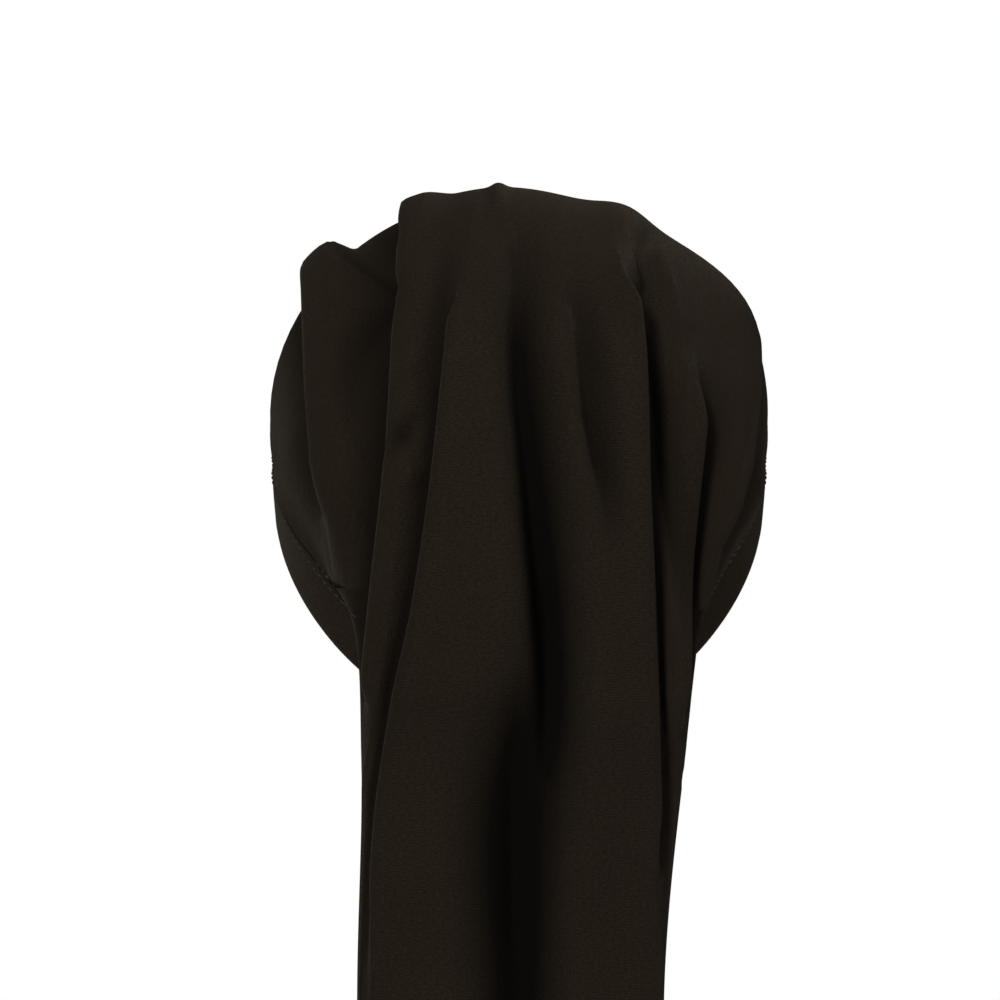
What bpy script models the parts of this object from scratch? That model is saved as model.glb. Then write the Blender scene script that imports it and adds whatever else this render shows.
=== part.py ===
# Worn dreadlock cap: a soft band round the head opening and one long bag of knit,
# from the forehead over the crown to the closed end of the tail.
# +Z is up, the wearer looks along -Y, and +X is the wearer's left.
# The origin is the middle of the head opening, level with the ears.

import math
from collections import namedtuple

import bmesh
import bpy
import numpy as np

# Driving dimensions in metres
HALF_WIDTH = 0.090         # middle to side, over the ears
CROWN_HEIGHT = 0.117       # origin up to the crown
FRONT_REACH = 0.098        # origin forward to the forehead
BACK_REACH = 0.093         # origin back to the cloth behind the head
DROP = 0.362               # origin down to the closed end of the tail
TAIL_HALF_WIDTH = 0.053    # middle of the tail to its side
TAIL_DEPTH = 0.009         # gap between the tail's two layers at the middle
WALL = 0.0012              # thickness of the knit
EAR_OVERHANG = 0.0025      # the cloth over the ears beyond the opening's edge
NAPE_REACH = 0.078         # origin back to the opening's edge at the nape
BROW_RISE = 0.042          # the opening's edge at the forehead, above the ears
NAPE_DROP = 0.075          # the opening's edge at the nape, below the ears
BAND_WIDTH = 0.019
BAND_THICKNESS = 0.0024
SEAM_GAP = 0.0004          # clearance between the band's top edge and the cloth
NAPE_CLEARANCE = 0.0045    # the hanging layer's distance behind the band's middle
PLEAT_HEIGHT = 0.0080      # one layer of a pleat over the next
PLEAT_SINK = 0.55          # share of its height that a pleat sinks before the next lip
SEAM_ROLL = 0.0030         # how far the cloth stands up from the band before it turns
SEAM_EASE = 0.014          # stretch beside the seam in which the pleats flatten
LIP_REACH = 0.0064         # how far a pleat's edge rolls over
LIP_WIDTH = 0.0045         # half the width that a pleat's edge takes up
LEAST_SPACE = 0.0085       # least cloth left between two pleats
FLAT_SPACE = 0.0025        # the same where the outer one has run out
LOBE_EDGE_WIDTH = 0.007    # over which the left lobe's upper edge rises
NORMAL_STEP = 0.002        # cloth taken each way to find which way a row faces

# Shares
LOBE_SINK = 1.0            # share of their height that the outer lobes sink again
BROW_POWER = 1.2           # how sharply the opening rises to the forehead
NAPE_POWER = 1.25          # and falls to the nape
BAND_LEAN = 0.06           # the band's lean outwards over the ears
BAND_LEAN_MORE = 0.10      # added to it at the nape, taken from it at the forehead
CURVE_PULL = 0.35          # pull of a section's side at both its ends
LIP_CROWDING = 0.42        # most of the space between two pleats that a lip takes up
ROLL_FROM = 0.6            # share of PLEAT_HEIGHT above which a lip rolls over
FADE_ABOVE = 0.4           # share of its full height at which a pleat needs LEAST_SPACE
PLEAT_EASE = 1.4           # the pleats' stretch beside the seam over that of the soft folds
FRONT_SOFTNESS = 0.6       # the soft folds' share in front of the crown
EDGE_NARROWS = 0.30        # the tail's edge lies this share of TAIL_DEPTH inside its side
EDGE_SINKS = 0.55          # and this share of it in front of its side
EDGE_TURNS = (0.3, 0.8, 0.0)  # which way the tail's edge faces, out, back and up
LIP_ROLL_MOST = 0.95       # most of a lip's half width that it rolls over
HANG_FROM = 0.8            # the nape layer leaves the band's line after this many bands
HANG_OVER = 4.0            # and hangs flat after this many more

OPENING_HALF_WIDTH = HALF_WIDTH - EAR_OVERHANG

# Counts
SAMPLES = 60               # points along each half of a section
SEAM_SAMPLES = 400         # points along the band's edge across the forehead
BAND_STEPS = 60
LIP_STEPS = 5
PANEL_STEPS = (4, 4, 3, 8, 4, 2, 4)
HANGING_STEPS = 12
HEAD_ROWS = 24
TAIL_ROWS = 9
JOIN_ROWS = (0.9, 1.3, 1.8, 2.4, 3.1, 4.0)  # rows' places after the tail's start
TAIL_ROWS_FROM = 5.0

# Each section runs from side to side through a middle point, a shoulder and an end.
# reach and height give the middle, side_x, side_y and side_z the shoulder, and along
# is the end's place on the band's edge, from 0 at the ear to 1 where the tail begins.
Section = namedtuple("Section", "name place reach height side_x side_y side_z along shift lean levels")
SECTIONS = (
    Section("front seam", 0.0, -0.990 * FRONT_REACH, 0.49 * CROWN_HEIGHT,
            0.975 * HALF_WIDTH, 0.00 * BACK_REACH, 0.13 * CROWN_HEIGHT, 0.00, 0.0, 0.0, 0.0),
    Section("brow", 1.6, -0.920 * FRONT_REACH, 0.69 * CROWN_HEIGHT,
            0.990 * HALF_WIDTH, 0.01 * BACK_REACH, 0.18 * CROWN_HEIGHT, 0.03, 0.0, 0.0, 0.0),
    Section("front of the crown", 3.6, -0.680 * FRONT_REACH, 0.89 * CROWN_HEIGHT,
            1.00 * HALF_WIDTH, 0.02 * BACK_REACH, 0.24 * CROWN_HEIGHT, 0.07, 0.0, 0.0, 0.15),
    Section("top", 7.0, -0.130 * FRONT_REACH, 1.00 * CROWN_HEIGHT,
            1.00 * HALF_WIDTH, 0.04 * BACK_REACH, 0.29 * CROWN_HEIGHT, 0.12, 0.0, 0.0, 0.65),
    Section("back of the crown", 10.5, 0.440 * BACK_REACH, 0.91 * CROWN_HEIGHT,
            0.99 * HALF_WIDTH, 0.20 * BACK_REACH, 0.29 * CROWN_HEIGHT, 0.19, 0.0, 0.1, 1.0),
    Section("back of the head", 14.5, 0.880 * BACK_REACH, 0.58 * CROWN_HEIGHT,
            0.965 * HALF_WIDTH, 0.33 * BACK_REACH, 0.14 * CROWN_HEIGHT, 0.28, 0.0, 0.25, 1.0),
    Section("drape", 18.0, 1.000 * BACK_REACH, 0.20 * CROWN_HEIGHT,
            0.94 * HALF_WIDTH, 0.43 * BACK_REACH, 0.01 * CROWN_HEIGHT, 0.40, 0.0, 0.35, 1.0),
    Section("lower drape", 20.6, 1.020 * BACK_REACH, -0.045 * DROP,
            0.79 * HALF_WIDTH, 0.60 * BACK_REACH, -0.048 * DROP, 0.62, -0.015 * HALF_WIDTH, 0.5, 1.0),
    Section("nape", 23.0, 1.010 * BACK_REACH, -0.130 * DROP,
            0.67 * HALF_WIDTH, 0.78 * BACK_REACH, -0.100 * DROP, 1.00, -0.03 * HALF_WIDTH, 0.7, 1.0),
    Section("top of the tail", 26.0, 0.990 * BACK_REACH, -0.240 * DROP,
            1.045 * TAIL_HALF_WIDTH, 0.84 * BACK_REACH, -0.235 * DROP, 1.3,
            -0.02 * TAIL_HALF_WIDTH, 0.9, 1.0),
    Section("middle of the tail", 30.0, 0.970 * BACK_REACH, -0.450 * DROP,
            0.99 * TAIL_HALF_WIDTH, 0.87 * BACK_REACH, -0.450 * DROP, 2.0,
            0.06 * TAIL_HALF_WIDTH, 1.0, 1.0),
    Section("low on the tail", 34.0, 0.960 * BACK_REACH, -0.720 * DROP,
            1.0 * TAIL_HALF_WIDTH, 0.87 * BACK_REACH, -0.720 * DROP, 3.0,
            0.05 * TAIL_HALF_WIDTH, 1.0, 0.8),
    Section("closed end", 39.0, 0.940 * BACK_REACH, -1.000 * DROP,
            1.0 * TAIL_HALF_WIDTH, 0.90 * BACK_REACH, -1.000 * DROP, 4.0, 0.0, 1.0, 0.1),
)
TAIL_STARTS = 23.0         # place of the section where the hanging layer begins
LAST_PLACE = 39.0
TOP = 3                    # the rows of the table that hold the top and the drape
DRAPE = 6

# How the cloth rolls off the band at the nape before it hangs: the rows' places after
# TAIL_STARTS, with the way out as a share of NAPE_CLEARANCE and the rise of SEAM_ROLL.
ROLL_ROWS = (0.18, 0.36, 0.54)
ROLL_OUT = (0.35, 0.85, 1.05)
ROLL_UP = (0.80, 0.70, -0.90)
ROLL_ENDS = 0.54
EDGE_FALLS = 1.3           # further on, the tail's edge has fallen to its own height
EDGE_SETTLES = 3.0         # and has reached its own side

# Heights at which the fold tables below give their places, from the crown down
FOLD_HEIGHTS = (0.97 * CROWN_HEIGHT, 0.81 * CROWN_HEIGHT, 0.64 * CROWN_HEIGHT, 0.49 * CROWN_HEIGHT,
                0.34 * CROWN_HEIGHT, 0.05 * CROWN_HEIGHT, -0.08 * DROP, -0.17 * DROP, -0.27 * DROP,
                -0.45 * DROP, -1.00 * DROP)

# Pleats, from the left edge to the right edge. x is the lip's place as a share of
# HALF_WIDTH at each fold height, high its height there as a share of PLEAT_HEIGHT.
Pleat = namedtuple("Pleat", "name x high")
LEFT_PLEATS = (
    Pleat("outer lobe", (0.77, 0.775, 0.775, 0.77, 0.765, 0.745, 0.71, 0.68, 0.69, 0.69, 0.69),
          (0.0, 1.6, 1.1, 1.0, 0.95, 0.9, 0.4, 0.0, 0.0, 0.0, 0.0)),
    Pleat("side ridge", (0.42, 0.425, 0.43, 0.44, 0.45, 0.485, 0.535, 0.58, 0.61, 0.65, 0.65),
          (1.1, 0.9, 0.9, 1.0, 1.05, 1.05, 1.0, 0.9, 0.5, 0.0, 0.0)),
    Pleat("middle ridge", (0.19, 0.21, 0.225, 0.235, 0.255, 0.3, 0.365, 0.45, 0.52, 0.58, 0.57),
          (0.0, 0.0, 0.4, 0.95, 1.05, 1.1, 1.1, 1.1, 1.1, 1.0, 0.9)),
)
RIGHT_PLEATS = (
    Pleat("middle ridge", (0.37, 0.38, 0.395, 0.415, 0.425, 0.44, 0.465, 0.49, 0.51, 0.54, 0.54),
          (0.0, 0.15, 0.7, 1.1, 1.2, 1.2, 1.15, 1.0, 0.9, 0.8, 0.8)),
    Pleat("side ridge", (0.68, 0.69, 0.69, 0.69, 0.675, 0.64, 0.62, 0.62, 0.62, 0.65, 0.65),
          (0.0, 0.0, 0.0, 0.1, 0.7, 1.0, 1.0, 0.9, 0.5, 0.0, 0.0)),
    Pleat("outer lobe", (0.94, 0.94, 0.94, 0.94, 0.92, 0.81, 0.72, 0.72, 0.71, 0.71, 0.71),
          (0.0, 0.0, 0.0, 0.2, 0.5, 0.9, 0.3, 0.0, 0.0, 0.0, 0.0)),
)

# Soft folds, with no lip. high is a share of PLEAT_HEIGHT, below 0 for a valley, and
# wide is a share of HALF_WIDTH.
Soft = namedtuple("Soft", "name x high wide")
SOFT_FOLDS = (
    Soft("middle valley", (-0.06, -0.05, -0.03, -0.02, -0.04, -0.08, -0.11, -0.13, -0.12, -0.05, 0.00),
         (0.0, -0.2, -0.5, -0.8, -0.9, -1.0, -1.3, -1.1, -0.7, -0.3, 0.0), 0.10),
    Soft("tail valley", (0.10, 0.10, 0.08, 0.06, 0.04, 0.02, 0.0, 0.02, 0.06, 0.04, 0.00),
         (0.0, 0.0, 0.0, 0.0, 0.0, 0.0, 0.0, -0.5, -1.3, -1.3, -0.6), 0.15),
    Soft("right valley", (-0.22, -0.23, -0.24, -0.26, -0.30, -0.34, -0.38, -0.40, -0.40, -0.40, -0.40),
         (0.0, 0.0, -0.3, -0.5, -0.5, -0.3, 0.0, 0.0, 0.0, 0.0, 0.0), 0.06),
    Soft("right crown lobe", (-0.42, -0.42, -0.46, -0.50, -0.55, -0.60, -0.60, -0.60, -0.60, -0.60, -0.60),
         (0.6, 0.5, 0.5, 0.4, 0.2, 0.0, 0.0, 0.0, 0.0, 0.0, 0.0), 0.12),
    Soft("outer right swell", (-0.80, -0.86, -0.90, -0.92, -0.92, -0.90, -0.85, -0.8, -0.8, -0.8, -0.8),
         (0.7, 0.8, 0.6, 0.15, 0.0, 0.0, 0.0, 0.0, 0.0, 0.0, 0.0), 0.18),
    Soft("crown tip", (0.08, 0.07, 0.05, 0.04, 0.03, 0.0, 0.0, 0.0, 0.0, 0.0, 0.0),
         (0.35, 0.1, 0.0, 0.0, 0.0, 0.0, 0.0, 0.0, 0.0, 0.0, 0.0), 0.05),
)

# Where the outer lobe's upper edge crosses the crown, from its tip to the side ridge
LOBE_TIP = (0.78 * HALF_WIDTH, 0.86 * CROWN_HEIGHT)
LOBE_FOOT = (0.46 * HALF_WIDTH, 0.68 * CROWN_HEIGHT)

# The band's section from its lower edge round: share of its width, share of half its thickness
BAND_PROFILE = ((0.0, 0.35), (0.10, 0.95), (0.35, 1.0), (0.65, 1.0), (0.92, 0.9), (1.0, 0.4),
                (1.0, -0.4), (0.92, -0.9), (0.5, -1.0), (0.10, -0.95), (0.0, -0.35))

EAR_ANGLE = math.radians(90)
TAIL_ANGLE = math.radians(141)


def smooth(value):
    """Eases from 0 to 1."""
    t = np.clip(value, 0.0, 1.0)
    return t * t * (3.0 - 2.0 * t)


def through(stations, values, at):
    """Reads a smooth curve through the stations, rising or falling, at the places asked for."""
    xs = np.asarray(stations, float)
    ys = np.asarray(values, float)
    slopes = np.gradient(ys, xs)
    at = np.clip(at, xs[0], xs[-1])
    i = np.clip(np.searchsorted(xs, at) - 1, 0, len(xs) - 2)
    span = xs[i + 1] - xs[i]
    t = (at - xs[i]) / span
    rise = ys[i] * (1 + 2 * t) * (1 - t) ** 2 + ys[i + 1] * t * t * (3 - 2 * t)
    return rise + span * (slopes[i] * t * (1 - t) ** 2 - slopes[i + 1] * t * t * (1 - t))


def at_height(values, height):
    """Reads a row of a fold table at a height."""
    return through(FOLD_HEIGHTS[::-1], values[::-1], height)


def unit(vectors):
    """Vectors made one long."""
    return vectors / np.maximum(np.linalg.norm(vectors, axis=-1, keepdims=True), 1e-12)


def opening_edge(angle):
    """A point on the opening's lower edge. Angle 0 is the forehead, a quarter turn the left ear."""
    forward = np.maximum(np.cos(angle), 0.0)
    backward = np.maximum(-np.cos(angle), 0.0)
    x = OPENING_HALF_WIDTH * np.sin(angle)
    y = NAPE_REACH * backward - FRONT_REACH * forward
    z = BROW_RISE * forward ** BROW_POWER - NAPE_DROP * backward ** NAPE_POWER
    return np.stack([x, y, z], axis=-1)


def opening_frame(angle):
    """Edge point, outward direction and direction up the band, at an angle round the opening."""
    step = 1e-4
    point = opening_edge(angle)
    along = unit(opening_edge(angle + step) - opening_edge(angle - step))
    flat = np.stack([along[..., 0], along[..., 1], np.zeros_like(along[..., 0])], axis=-1)
    out = unit(np.cross(flat, np.array([0.0, 0.0, 1.0])))
    up = unit(np.cross(out, along))
    lean = BAND_LEAN - BAND_LEAN_MORE * np.cos(angle)
    up = unit(up + lean[..., None] * out)
    return point, out, up


def seam_point(angle):
    """Where the cloth's edge meets the band, and the way out and up there."""
    point, out, up = opening_frame(angle)
    return point + up * (BAND_WIDTH + SEAM_GAP), out, up


def seam_angle(along):
    """Angle round the opening for a share of the way from the ear to the tail."""
    return EAR_ANGLE + (TAIL_ANGLE - EAR_ANGLE) * along


def section_values(place):
    """The table of sections, read at any place."""
    stations = [row.place for row in SECTIONS]
    columns = {name: np.array([getattr(row, name) for row in SECTIONS])
               for name in Section._fields if name != "name"}
    return {name: float(through(stations, values, place)) for name, values in columns.items()}


def rolled_seam(angle, beyond):
    """The band's edge, moved out and up as the cloth rolls off it past the tail's start."""
    seam, out, up = seam_point(angle)
    rows = (0.0,) + ROLL_ROWS
    away = np.interp(beyond, rows, (0.0,) + ROLL_OUT) * NAPE_CLEARANCE
    rise = np.interp(beyond, rows, (0.0,) + ROLL_UP) * SEAM_ROLL
    return seam + out * away + up * rise


def half_section(row, side):
    """Points from the middle of a section to its end, on one side (1 left, -1 right)."""
    quarter = np.linspace(0, math.pi / 2, SAMPLES)
    middle = np.array([0.0, row["reach"], row["height"]])
    shoulder = np.array([row["side_x"], row["side_y"], row["side_z"]])
    _, _, up = seam_point(np.array(seam_angle(min(row["along"], 1.0))))
    beyond = row["place"] - TAIL_STARTS
    tail = float(smooth((beyond - ROLL_ENDS) / EDGE_SETTLES))
    fall = float(smooth((beyond - ROLL_ENDS) / EDGE_FALLS))
    hang = np.array([row["side_x"] - EDGE_NARROWS * TAIL_DEPTH, row["side_y"] - EDGE_SINKS * TAIL_DEPTH,
                     row["side_z"]])
    rolled = rolled_seam(np.array(seam_angle(min(row["along"], 1.0))), beyond)
    end = rolled + (hang - rolled) * [tail, tail, fall]
    arc = middle + np.stack([np.sin(quarter) * shoulder[0],
                             (1 - np.cos(quarter)) * (shoulder[1] - middle[1]),
                             (1 - np.cos(quarter)) * (shoulder[2] - middle[2])], axis=-1)
    reach = np.linalg.norm(end - shoulder)
    pull = shoulder + unit((shoulder - middle) * [0, 1, 1]) * reach * CURVE_PULL
    turned = up * (1 - tail) + np.array(EDGE_TURNS) * tail
    stand = end + turned * max(reach * CURVE_PULL, 2 * SEAM_ROLL)
    t = np.linspace(0, 1, SAMPLES // 2)[1:, None]
    bend = (1 - t) ** 3 * shoulder + 3 * t * (1 - t) ** 2 * pull + 3 * t * t * (1 - t) * stand + t ** 3 * end
    points = np.concatenate([arc, bend])
    points[:, 0] *= side
    held = 1 - (1 - tail) * smooth(t[:, 0])
    points[:, 0] += row["shift"] * np.concatenate([np.ones(SAMPLES), held])
    return points


def lengths(points):
    """How far along a line each of its points lies."""
    steps = np.linalg.norm(np.diff(points, axis=0), axis=1)
    return np.concatenate([[0.0], np.cumsum(steps)])


def along_curve(points, run, at):
    """Points of a line at the lengths asked for."""
    return np.stack([np.interp(at, run, points[:, k]) for k in range(3)], axis=-1)


def pleat_places(points, run, pleats, place):
    """How far along a half section each pleat's lip lies, outermost first, and its height."""
    places = []
    heights = []
    for pleat in pleats:
        gap = points[:, 0] - at_height(pleat.x, points[:, 2]) * HALF_WIDTH
        crossed = np.nonzero(gap >= 0)[0]
        here = crossed[0] if len(crossed) else len(points) - 1
        places.append(run[here])
        if len(crossed) and here:
            places[-1] = np.interp(0, gap[here - 1:here + 1], run[here - 1:here + 1])
        heights.append(float(at_height(pleat.high, along_curve(points, run, np.array([places[-1]]))[0][2])))
    shoulder = run[SAMPLES - 1] + 0.5 * LEAST_SPACE
    held = float(smooth((place - SECTIONS[DRAPE].place) / (TAIL_STARTS - SECTIONS[DRAPE].place)))
    limit = run[-1] - FLAT_SPACE
    for i, height in enumerate(heights):
        places[i] = min(places[i], limit)
        limit = places[i] - FLAT_SPACE - (LEAST_SPACE - FLAT_SPACE) * float(smooth(height / FADE_ABOVE))
        on_back = float(smooth((shoulder - places[i]) / LEAST_SPACE))
        heights[i] = height * (1 - held * (1 - on_back))
    return places, heights


def lip_widths(places, end):
    """Half the width of each lip, shrunk where the pleats crowd."""
    bounds = [end] + list(places) + [0.0]
    return [min(LIP_WIDTH, LIP_CROWDING * min(bounds[i] - bounds[i + 1], bounds[i + 1] - bounds[i + 2]))
            for i in range(len(places))]


def half_columns(points, run, pleats, side, place, fade):
    """Places, widths and heights of the lips on a half section, outermost first."""
    if place < SECTIONS[TOP].place:
        top = half_section(section_values(SECTIONS[TOP].place), side) * [side, 1, 1]
        top_run = lengths(top)
        places, heights = pleat_places(top, top_run, pleats, place)
        places = [p * run[-1] / top_run[-1] for p in places]
    else:
        places, heights = pleat_places(points, run, pleats, place)
    widths = lip_widths(places, run[-1])
    heights = [max(h, 0.0) * PLEAT_HEIGHT * fade * float(smooth((run[-1] - p) / (PLEAT_EASE * SEAM_EASE)))
               for h, p in zip(heights, places)]
    return places, widths, heights


def half_offsets(places, widths, heights, end, panel_steps, raised):
    """Columns from the end of a half section inwards, stopping at the last lip."""
    columns = []
    level = 0.0
    sink = 0.0
    outer = end
    for pleat, (place, width, height, steps) in enumerate(zip(places, widths, heights, panel_steps)):
        inner = place + width
        crest = level
        for i in range(steps + 1):
            share = i / steps
            if pleat == 0 and i:
                first = min(1 / steps, SEAM_ROLL / (outer - inner))
                share = first + (1 - first) * (i - 1) / (steps - 1)
            here = outer + (inner - outer) * share
            level = crest - sink * float(smooth(share))
            if pleat == 1:
                level *= raised(here)
            if i < steps:
                columns.append((here, level))
        roll = LIP_REACH * np.clip((height / PLEAT_HEIGHT - ROLL_FROM) / (1 - ROLL_FROM), 0, 1)
        roll = min(roll, LIP_ROLL_MOST * width)
        for i in range(LIP_STEPS):
            tau = -1 + 2 * i / LIP_STEPS
            side = place - width * tau + roll * math.sin(math.pi * tau)
            columns.append((side, level + height * (tau + 1) / 2))
        level += height
        sink = (LOBE_SINK if pleat == 0 else PLEAT_SINK) * height
        outer = place - width
    columns.append((outer, level))
    return columns


def lobe_share(point):
    """How far the left lobe stands up at a point: nothing above its upper edge."""
    slope = (LOBE_TIP[1] - LOBE_FOOT[1]) / (LOBE_TIP[0] - LOBE_FOOT[0])
    edge = LOBE_FOOT[1] + slope * (point[0] - LOBE_FOOT[0])
    return float(smooth((edge - point[2]) / LOBE_EDGE_WIDTH + 0.5))


def half_row(row, place, side, pleats, steps):
    """A half section's points and lengths, and the columns along it with their levels."""
    points = half_section(row, side)
    mirror = points * [side, 1, 1]
    run = lengths(mirror)
    places, widths, heights = half_columns(mirror, run, pleats, side, place, row["levels"])

    def raised(at):
        return lobe_share(along_curve(mirror, run, np.array([at]))[0]) if side > 0 else 1.0

    return points, run, half_offsets(places, widths, heights, run[-1], steps, raised)


def row_points(place):
    """One row of the outer sheet, from its left end to its right end."""
    row = section_values(place)
    fade = row["levels"]
    left = half_row(row, place, 1, LEFT_PLEATS, PANEL_STEPS[:3])
    right = half_row(row, place, -1, RIGHT_PLEATS[::-1], PANEL_STEPS[4:][::-1])
    whole = np.concatenate([left[0][::-1], right[0][1:]])
    run = np.concatenate([left[1][::-1], -right[1][1:]])
    columns = list(left[2])
    start, level_left = left[2][-1]
    stop, level_right = right[2][-1]
    steps = PANEL_STEPS[3]
    for i in range(1, steps):
        t = i / steps
        level = level_left + (level_right - level_left) * float(smooth(t))
        columns.append((start + (-stop - start) * t, level))
    columns += [(-s, level) for s, level in right[2][::-1]]
    at = np.array([c[0] for c in columns])
    level = np.array([c[1] for c in columns])
    base = along_curve(whole[::-1], run[::-1], at)
    ahead = along_curve(whole[::-1], run[::-1], np.clip(at - NORMAL_STEP, run[-1], run[0]))
    behind = along_curve(whole[::-1], run[::-1], np.clip(at + NORMAL_STEP, run[-1], run[0]))
    tangent = unit(ahead - behind)
    flat = np.array([0.0, row["side_y"] - row["reach"], row["side_z"] - row["height"]])
    plane = unit(np.cross([1.0, 0.0, 0.0], flat))
    normal = unit(np.cross(plane, tangent))
    centre = np.array([0.0, row["side_y"], row["side_z"]])
    normal *= np.where(np.sum(normal * (base - centre), axis=1) < 0, -1.0, 1.0)[:, None]
    away = unit((1 - row["lean"]) * normal + row["lean"] * np.array([0.0, 1.0, 0.0]))
    softness = FRONT_SOFTNESS if place < SECTIONS[TOP].place else 1.0
    level = level + soft_level(base) * fade * softness
    ends = np.minimum(run[0] - at, at - run[-1])
    level = level * smooth(ends / SEAM_EASE)
    return base + away * level[:, None]


def soft_level(base):
    """The soft folds' part of the level."""
    total = np.zeros(len(base))
    for fold in SOFT_FOLDS:
        x = at_height(fold.x, base[:, 2]) * HALF_WIDTH
        high = at_height(fold.high, base[:, 2]) * PLEAT_HEIGHT
        total += high * np.exp(-((base[:, 0] - x) / (fold.wide * HALF_WIDTH)) ** 2)
    return total


def mesh_object(name, points, faces, material):
    """An object from points and faces, shaded smooth."""
    mesh = bpy.data.meshes.new(name)
    mesh.from_pydata([tuple(p) for p in points], [], faces)
    mesh.update()
    piece = bpy.data.objects.new(name, mesh)
    bpy.context.scene.collection.objects.link(piece)
    mesh.materials.append(material)
    mesh.shade_smooth()
    return piece


def knit_material(name, colour, roughness):
    """Matte knit."""
    material = bpy.data.materials.new(name)
    material.use_nodes = True
    shader = material.node_tree.nodes["Principled BSDF"]
    shader.inputs["Base Color"].default_value = (*colour, 1.0)
    shader.inputs["Roughness"].default_value = roughness
    shader.inputs["Metallic"].default_value = 0.0
    return material


def row_places():
    """Places of the rows, closer together over the head than on the tail."""
    head = np.linspace(0.0, TAIL_STARTS, HEAD_ROWS)
    roll = TAIL_STARTS + np.array(ROLL_ROWS)
    join = TAIL_STARTS + np.array(JOIN_ROWS)
    tail = np.linspace(TAIL_STARTS + TAIL_ROWS_FROM, LAST_PLACE, TAIL_ROWS)
    return np.concatenate([head, roll, join, tail])


def hanging_row(left, right, place):
    """A row of the layer that hangs behind the nape, between two points of the tail's edges."""
    across = np.linspace(0, 1, HANGING_STEPS + 1)[1:-1]
    angle = TAIL_ANGLE + (2 * math.pi - 2 * TAIL_ANGLE) * across
    beyond = place - TAIL_STARTS
    near = rolled_seam(angle, beyond)
    fallen = rolled_seam(np.array(TAIL_ANGLE), beyond)[2] - left[2]
    near[:, 2] -= fallen
    flat = left + (right - left) * across[:, None]
    hang = smooth((fallen - HANG_FROM * BAND_WIDTH) / (HANG_OVER * BAND_WIDTH))
    return near + (flat - near) * hang


def hood_and_tail(material):
    """Crown, drape and hanging tail: one bag with a wall on both sides."""
    places = row_places()
    rows = [row_points(place) for place in places]
    columns = len(rows[0])
    rows[0] = seam_front(rows[0])
    points = [p for row in rows for p in row]
    index = np.arange(len(points)).reshape(len(rows), columns)
    faces = []
    for i in range(len(rows) - 1):
        for j in range(columns - 1):
            faces.append((index[i, j], index[i + 1, j], index[i + 1, j + 1], index[i, j + 1]))
    first = int(np.nonzero(np.isclose(places, TAIL_STARTS))[0][0])
    previous = None
    for i in range(first, len(rows)):
        row = hanging_row(rows[i][0], rows[i][-1], places[i])
        start = len(points)
        points += list(row)
        ids = [index[i, 0]] + list(range(start, start + len(row))) + [index[i, -1]]
        if previous:
            for j in range(len(ids) - 1):
                faces.append((previous[j], previous[j + 1], ids[j + 1], ids[j]))
        previous = ids
    faces += closed_end(points, list(index[-1]), previous)
    return wall_object("hood_and_tail", np.array(points), faces, material)


def seam_front(row):
    """The first row follows the band's edge across the forehead."""
    angles = np.linspace(EAR_ANGLE, -EAR_ANGLE, SEAM_SAMPLES)
    seam = seam_point(angles)[0]
    run = lengths(seam)
    share = lengths(row)
    return along_curve(seam, run, share / share[-1] * run[-1])


def closed_end(points, outer, inner):
    """Faces that close the tail's end between its two layers."""
    faces = []
    run_a = lengths(np.array([points[i] for i in outer]))
    run_b = lengths(np.array([points[i] for i in inner]))
    run_a = run_a / run_a[-1]
    run_b = run_b / run_b[-1]
    i = j = 0
    while i < len(outer) - 1 or j < len(inner) - 1:
        step_outer = j == len(inner) - 1 or (i < len(outer) - 1 and run_a[i + 1] <= run_b[j + 1])
        if step_outer:
            face = (outer[i], inner[j], outer[i + 1])
            i += 1
        else:
            face = (outer[i], inner[j], inner[j + 1])
            j += 1
        if len(set(face)) == 3:
            faces.append(face)
    return faces


def wall_object(name, points, faces, material):
    """Gives a sheet its wall, half of it on each side."""
    sheet = bpy.data.meshes.new(name)
    sheet.from_pydata([tuple(p) for p in points], [], faces)
    mesh = bmesh.new()
    mesh.from_mesh(sheet)
    mesh.normal_update()
    normals = np.array([v.normal for v in mesh.verts])
    edges = [(e.verts[0].index, e.verts[1].index, e) for e in mesh.edges if len(e.link_faces) == 1]
    border = {v for a, b, _ in edges for v in (a, b)}
    for i in border:
        angle = math.atan2(points[i][0] / OPENING_HALF_WIDTH,
                           -points[i][1] / (FRONT_REACH if points[i][1] < 0 else NAPE_REACH))
        normals[i] = opening_frame(np.array(angle))[1]
    rims = []
    for a, b, e in edges:
        loop = e.link_faces[0]
        order = [v.index for v in loop.verts]
        if order[(order.index(a) + 1) % len(order)] == b:
            rims.append((b, a))
        else:
            rims.append((a, b))
    mesh.free()
    bpy.data.meshes.remove(sheet)
    count = len(points)
    outer = points + normals * WALL / 2
    inner = points - normals * WALL / 2
    walls = [tuple(int(i) for i in face) for face in faces]
    walls += [tuple(int(i) + count for i in face[::-1]) for face in faces]
    walls += [(int(a), int(b), int(b) + count, int(a) + count) for a, b in rims]
    return mesh_object(name, np.concatenate([outer, inner]), walls, material)


def headband(material):
    """The band: a rounded strip swept round the head opening."""
    angles = np.linspace(0, 2 * math.pi, BAND_STEPS + 1)[:-1]
    point, out, up = opening_frame(angles)
    half = BAND_THICKNESS / 2
    points = []
    for high, side in BAND_PROFILE:
        points.append(point + up * (high * BAND_WIDTH) + out * (side * half))
    grid = np.stack(points, axis=1)
    size = len(BAND_PROFILE)
    faces = []
    for i in range(BAND_STEPS):
        for j in range(size):
            a, b = i * size, ((i + 1) % BAND_STEPS) * size
            faces.append((a + j, b + j, b + (j + 1) % size, a + (j + 1) % size))
    return mesh_object("headband", grid.reshape(-1, 3), faces, material)


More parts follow.
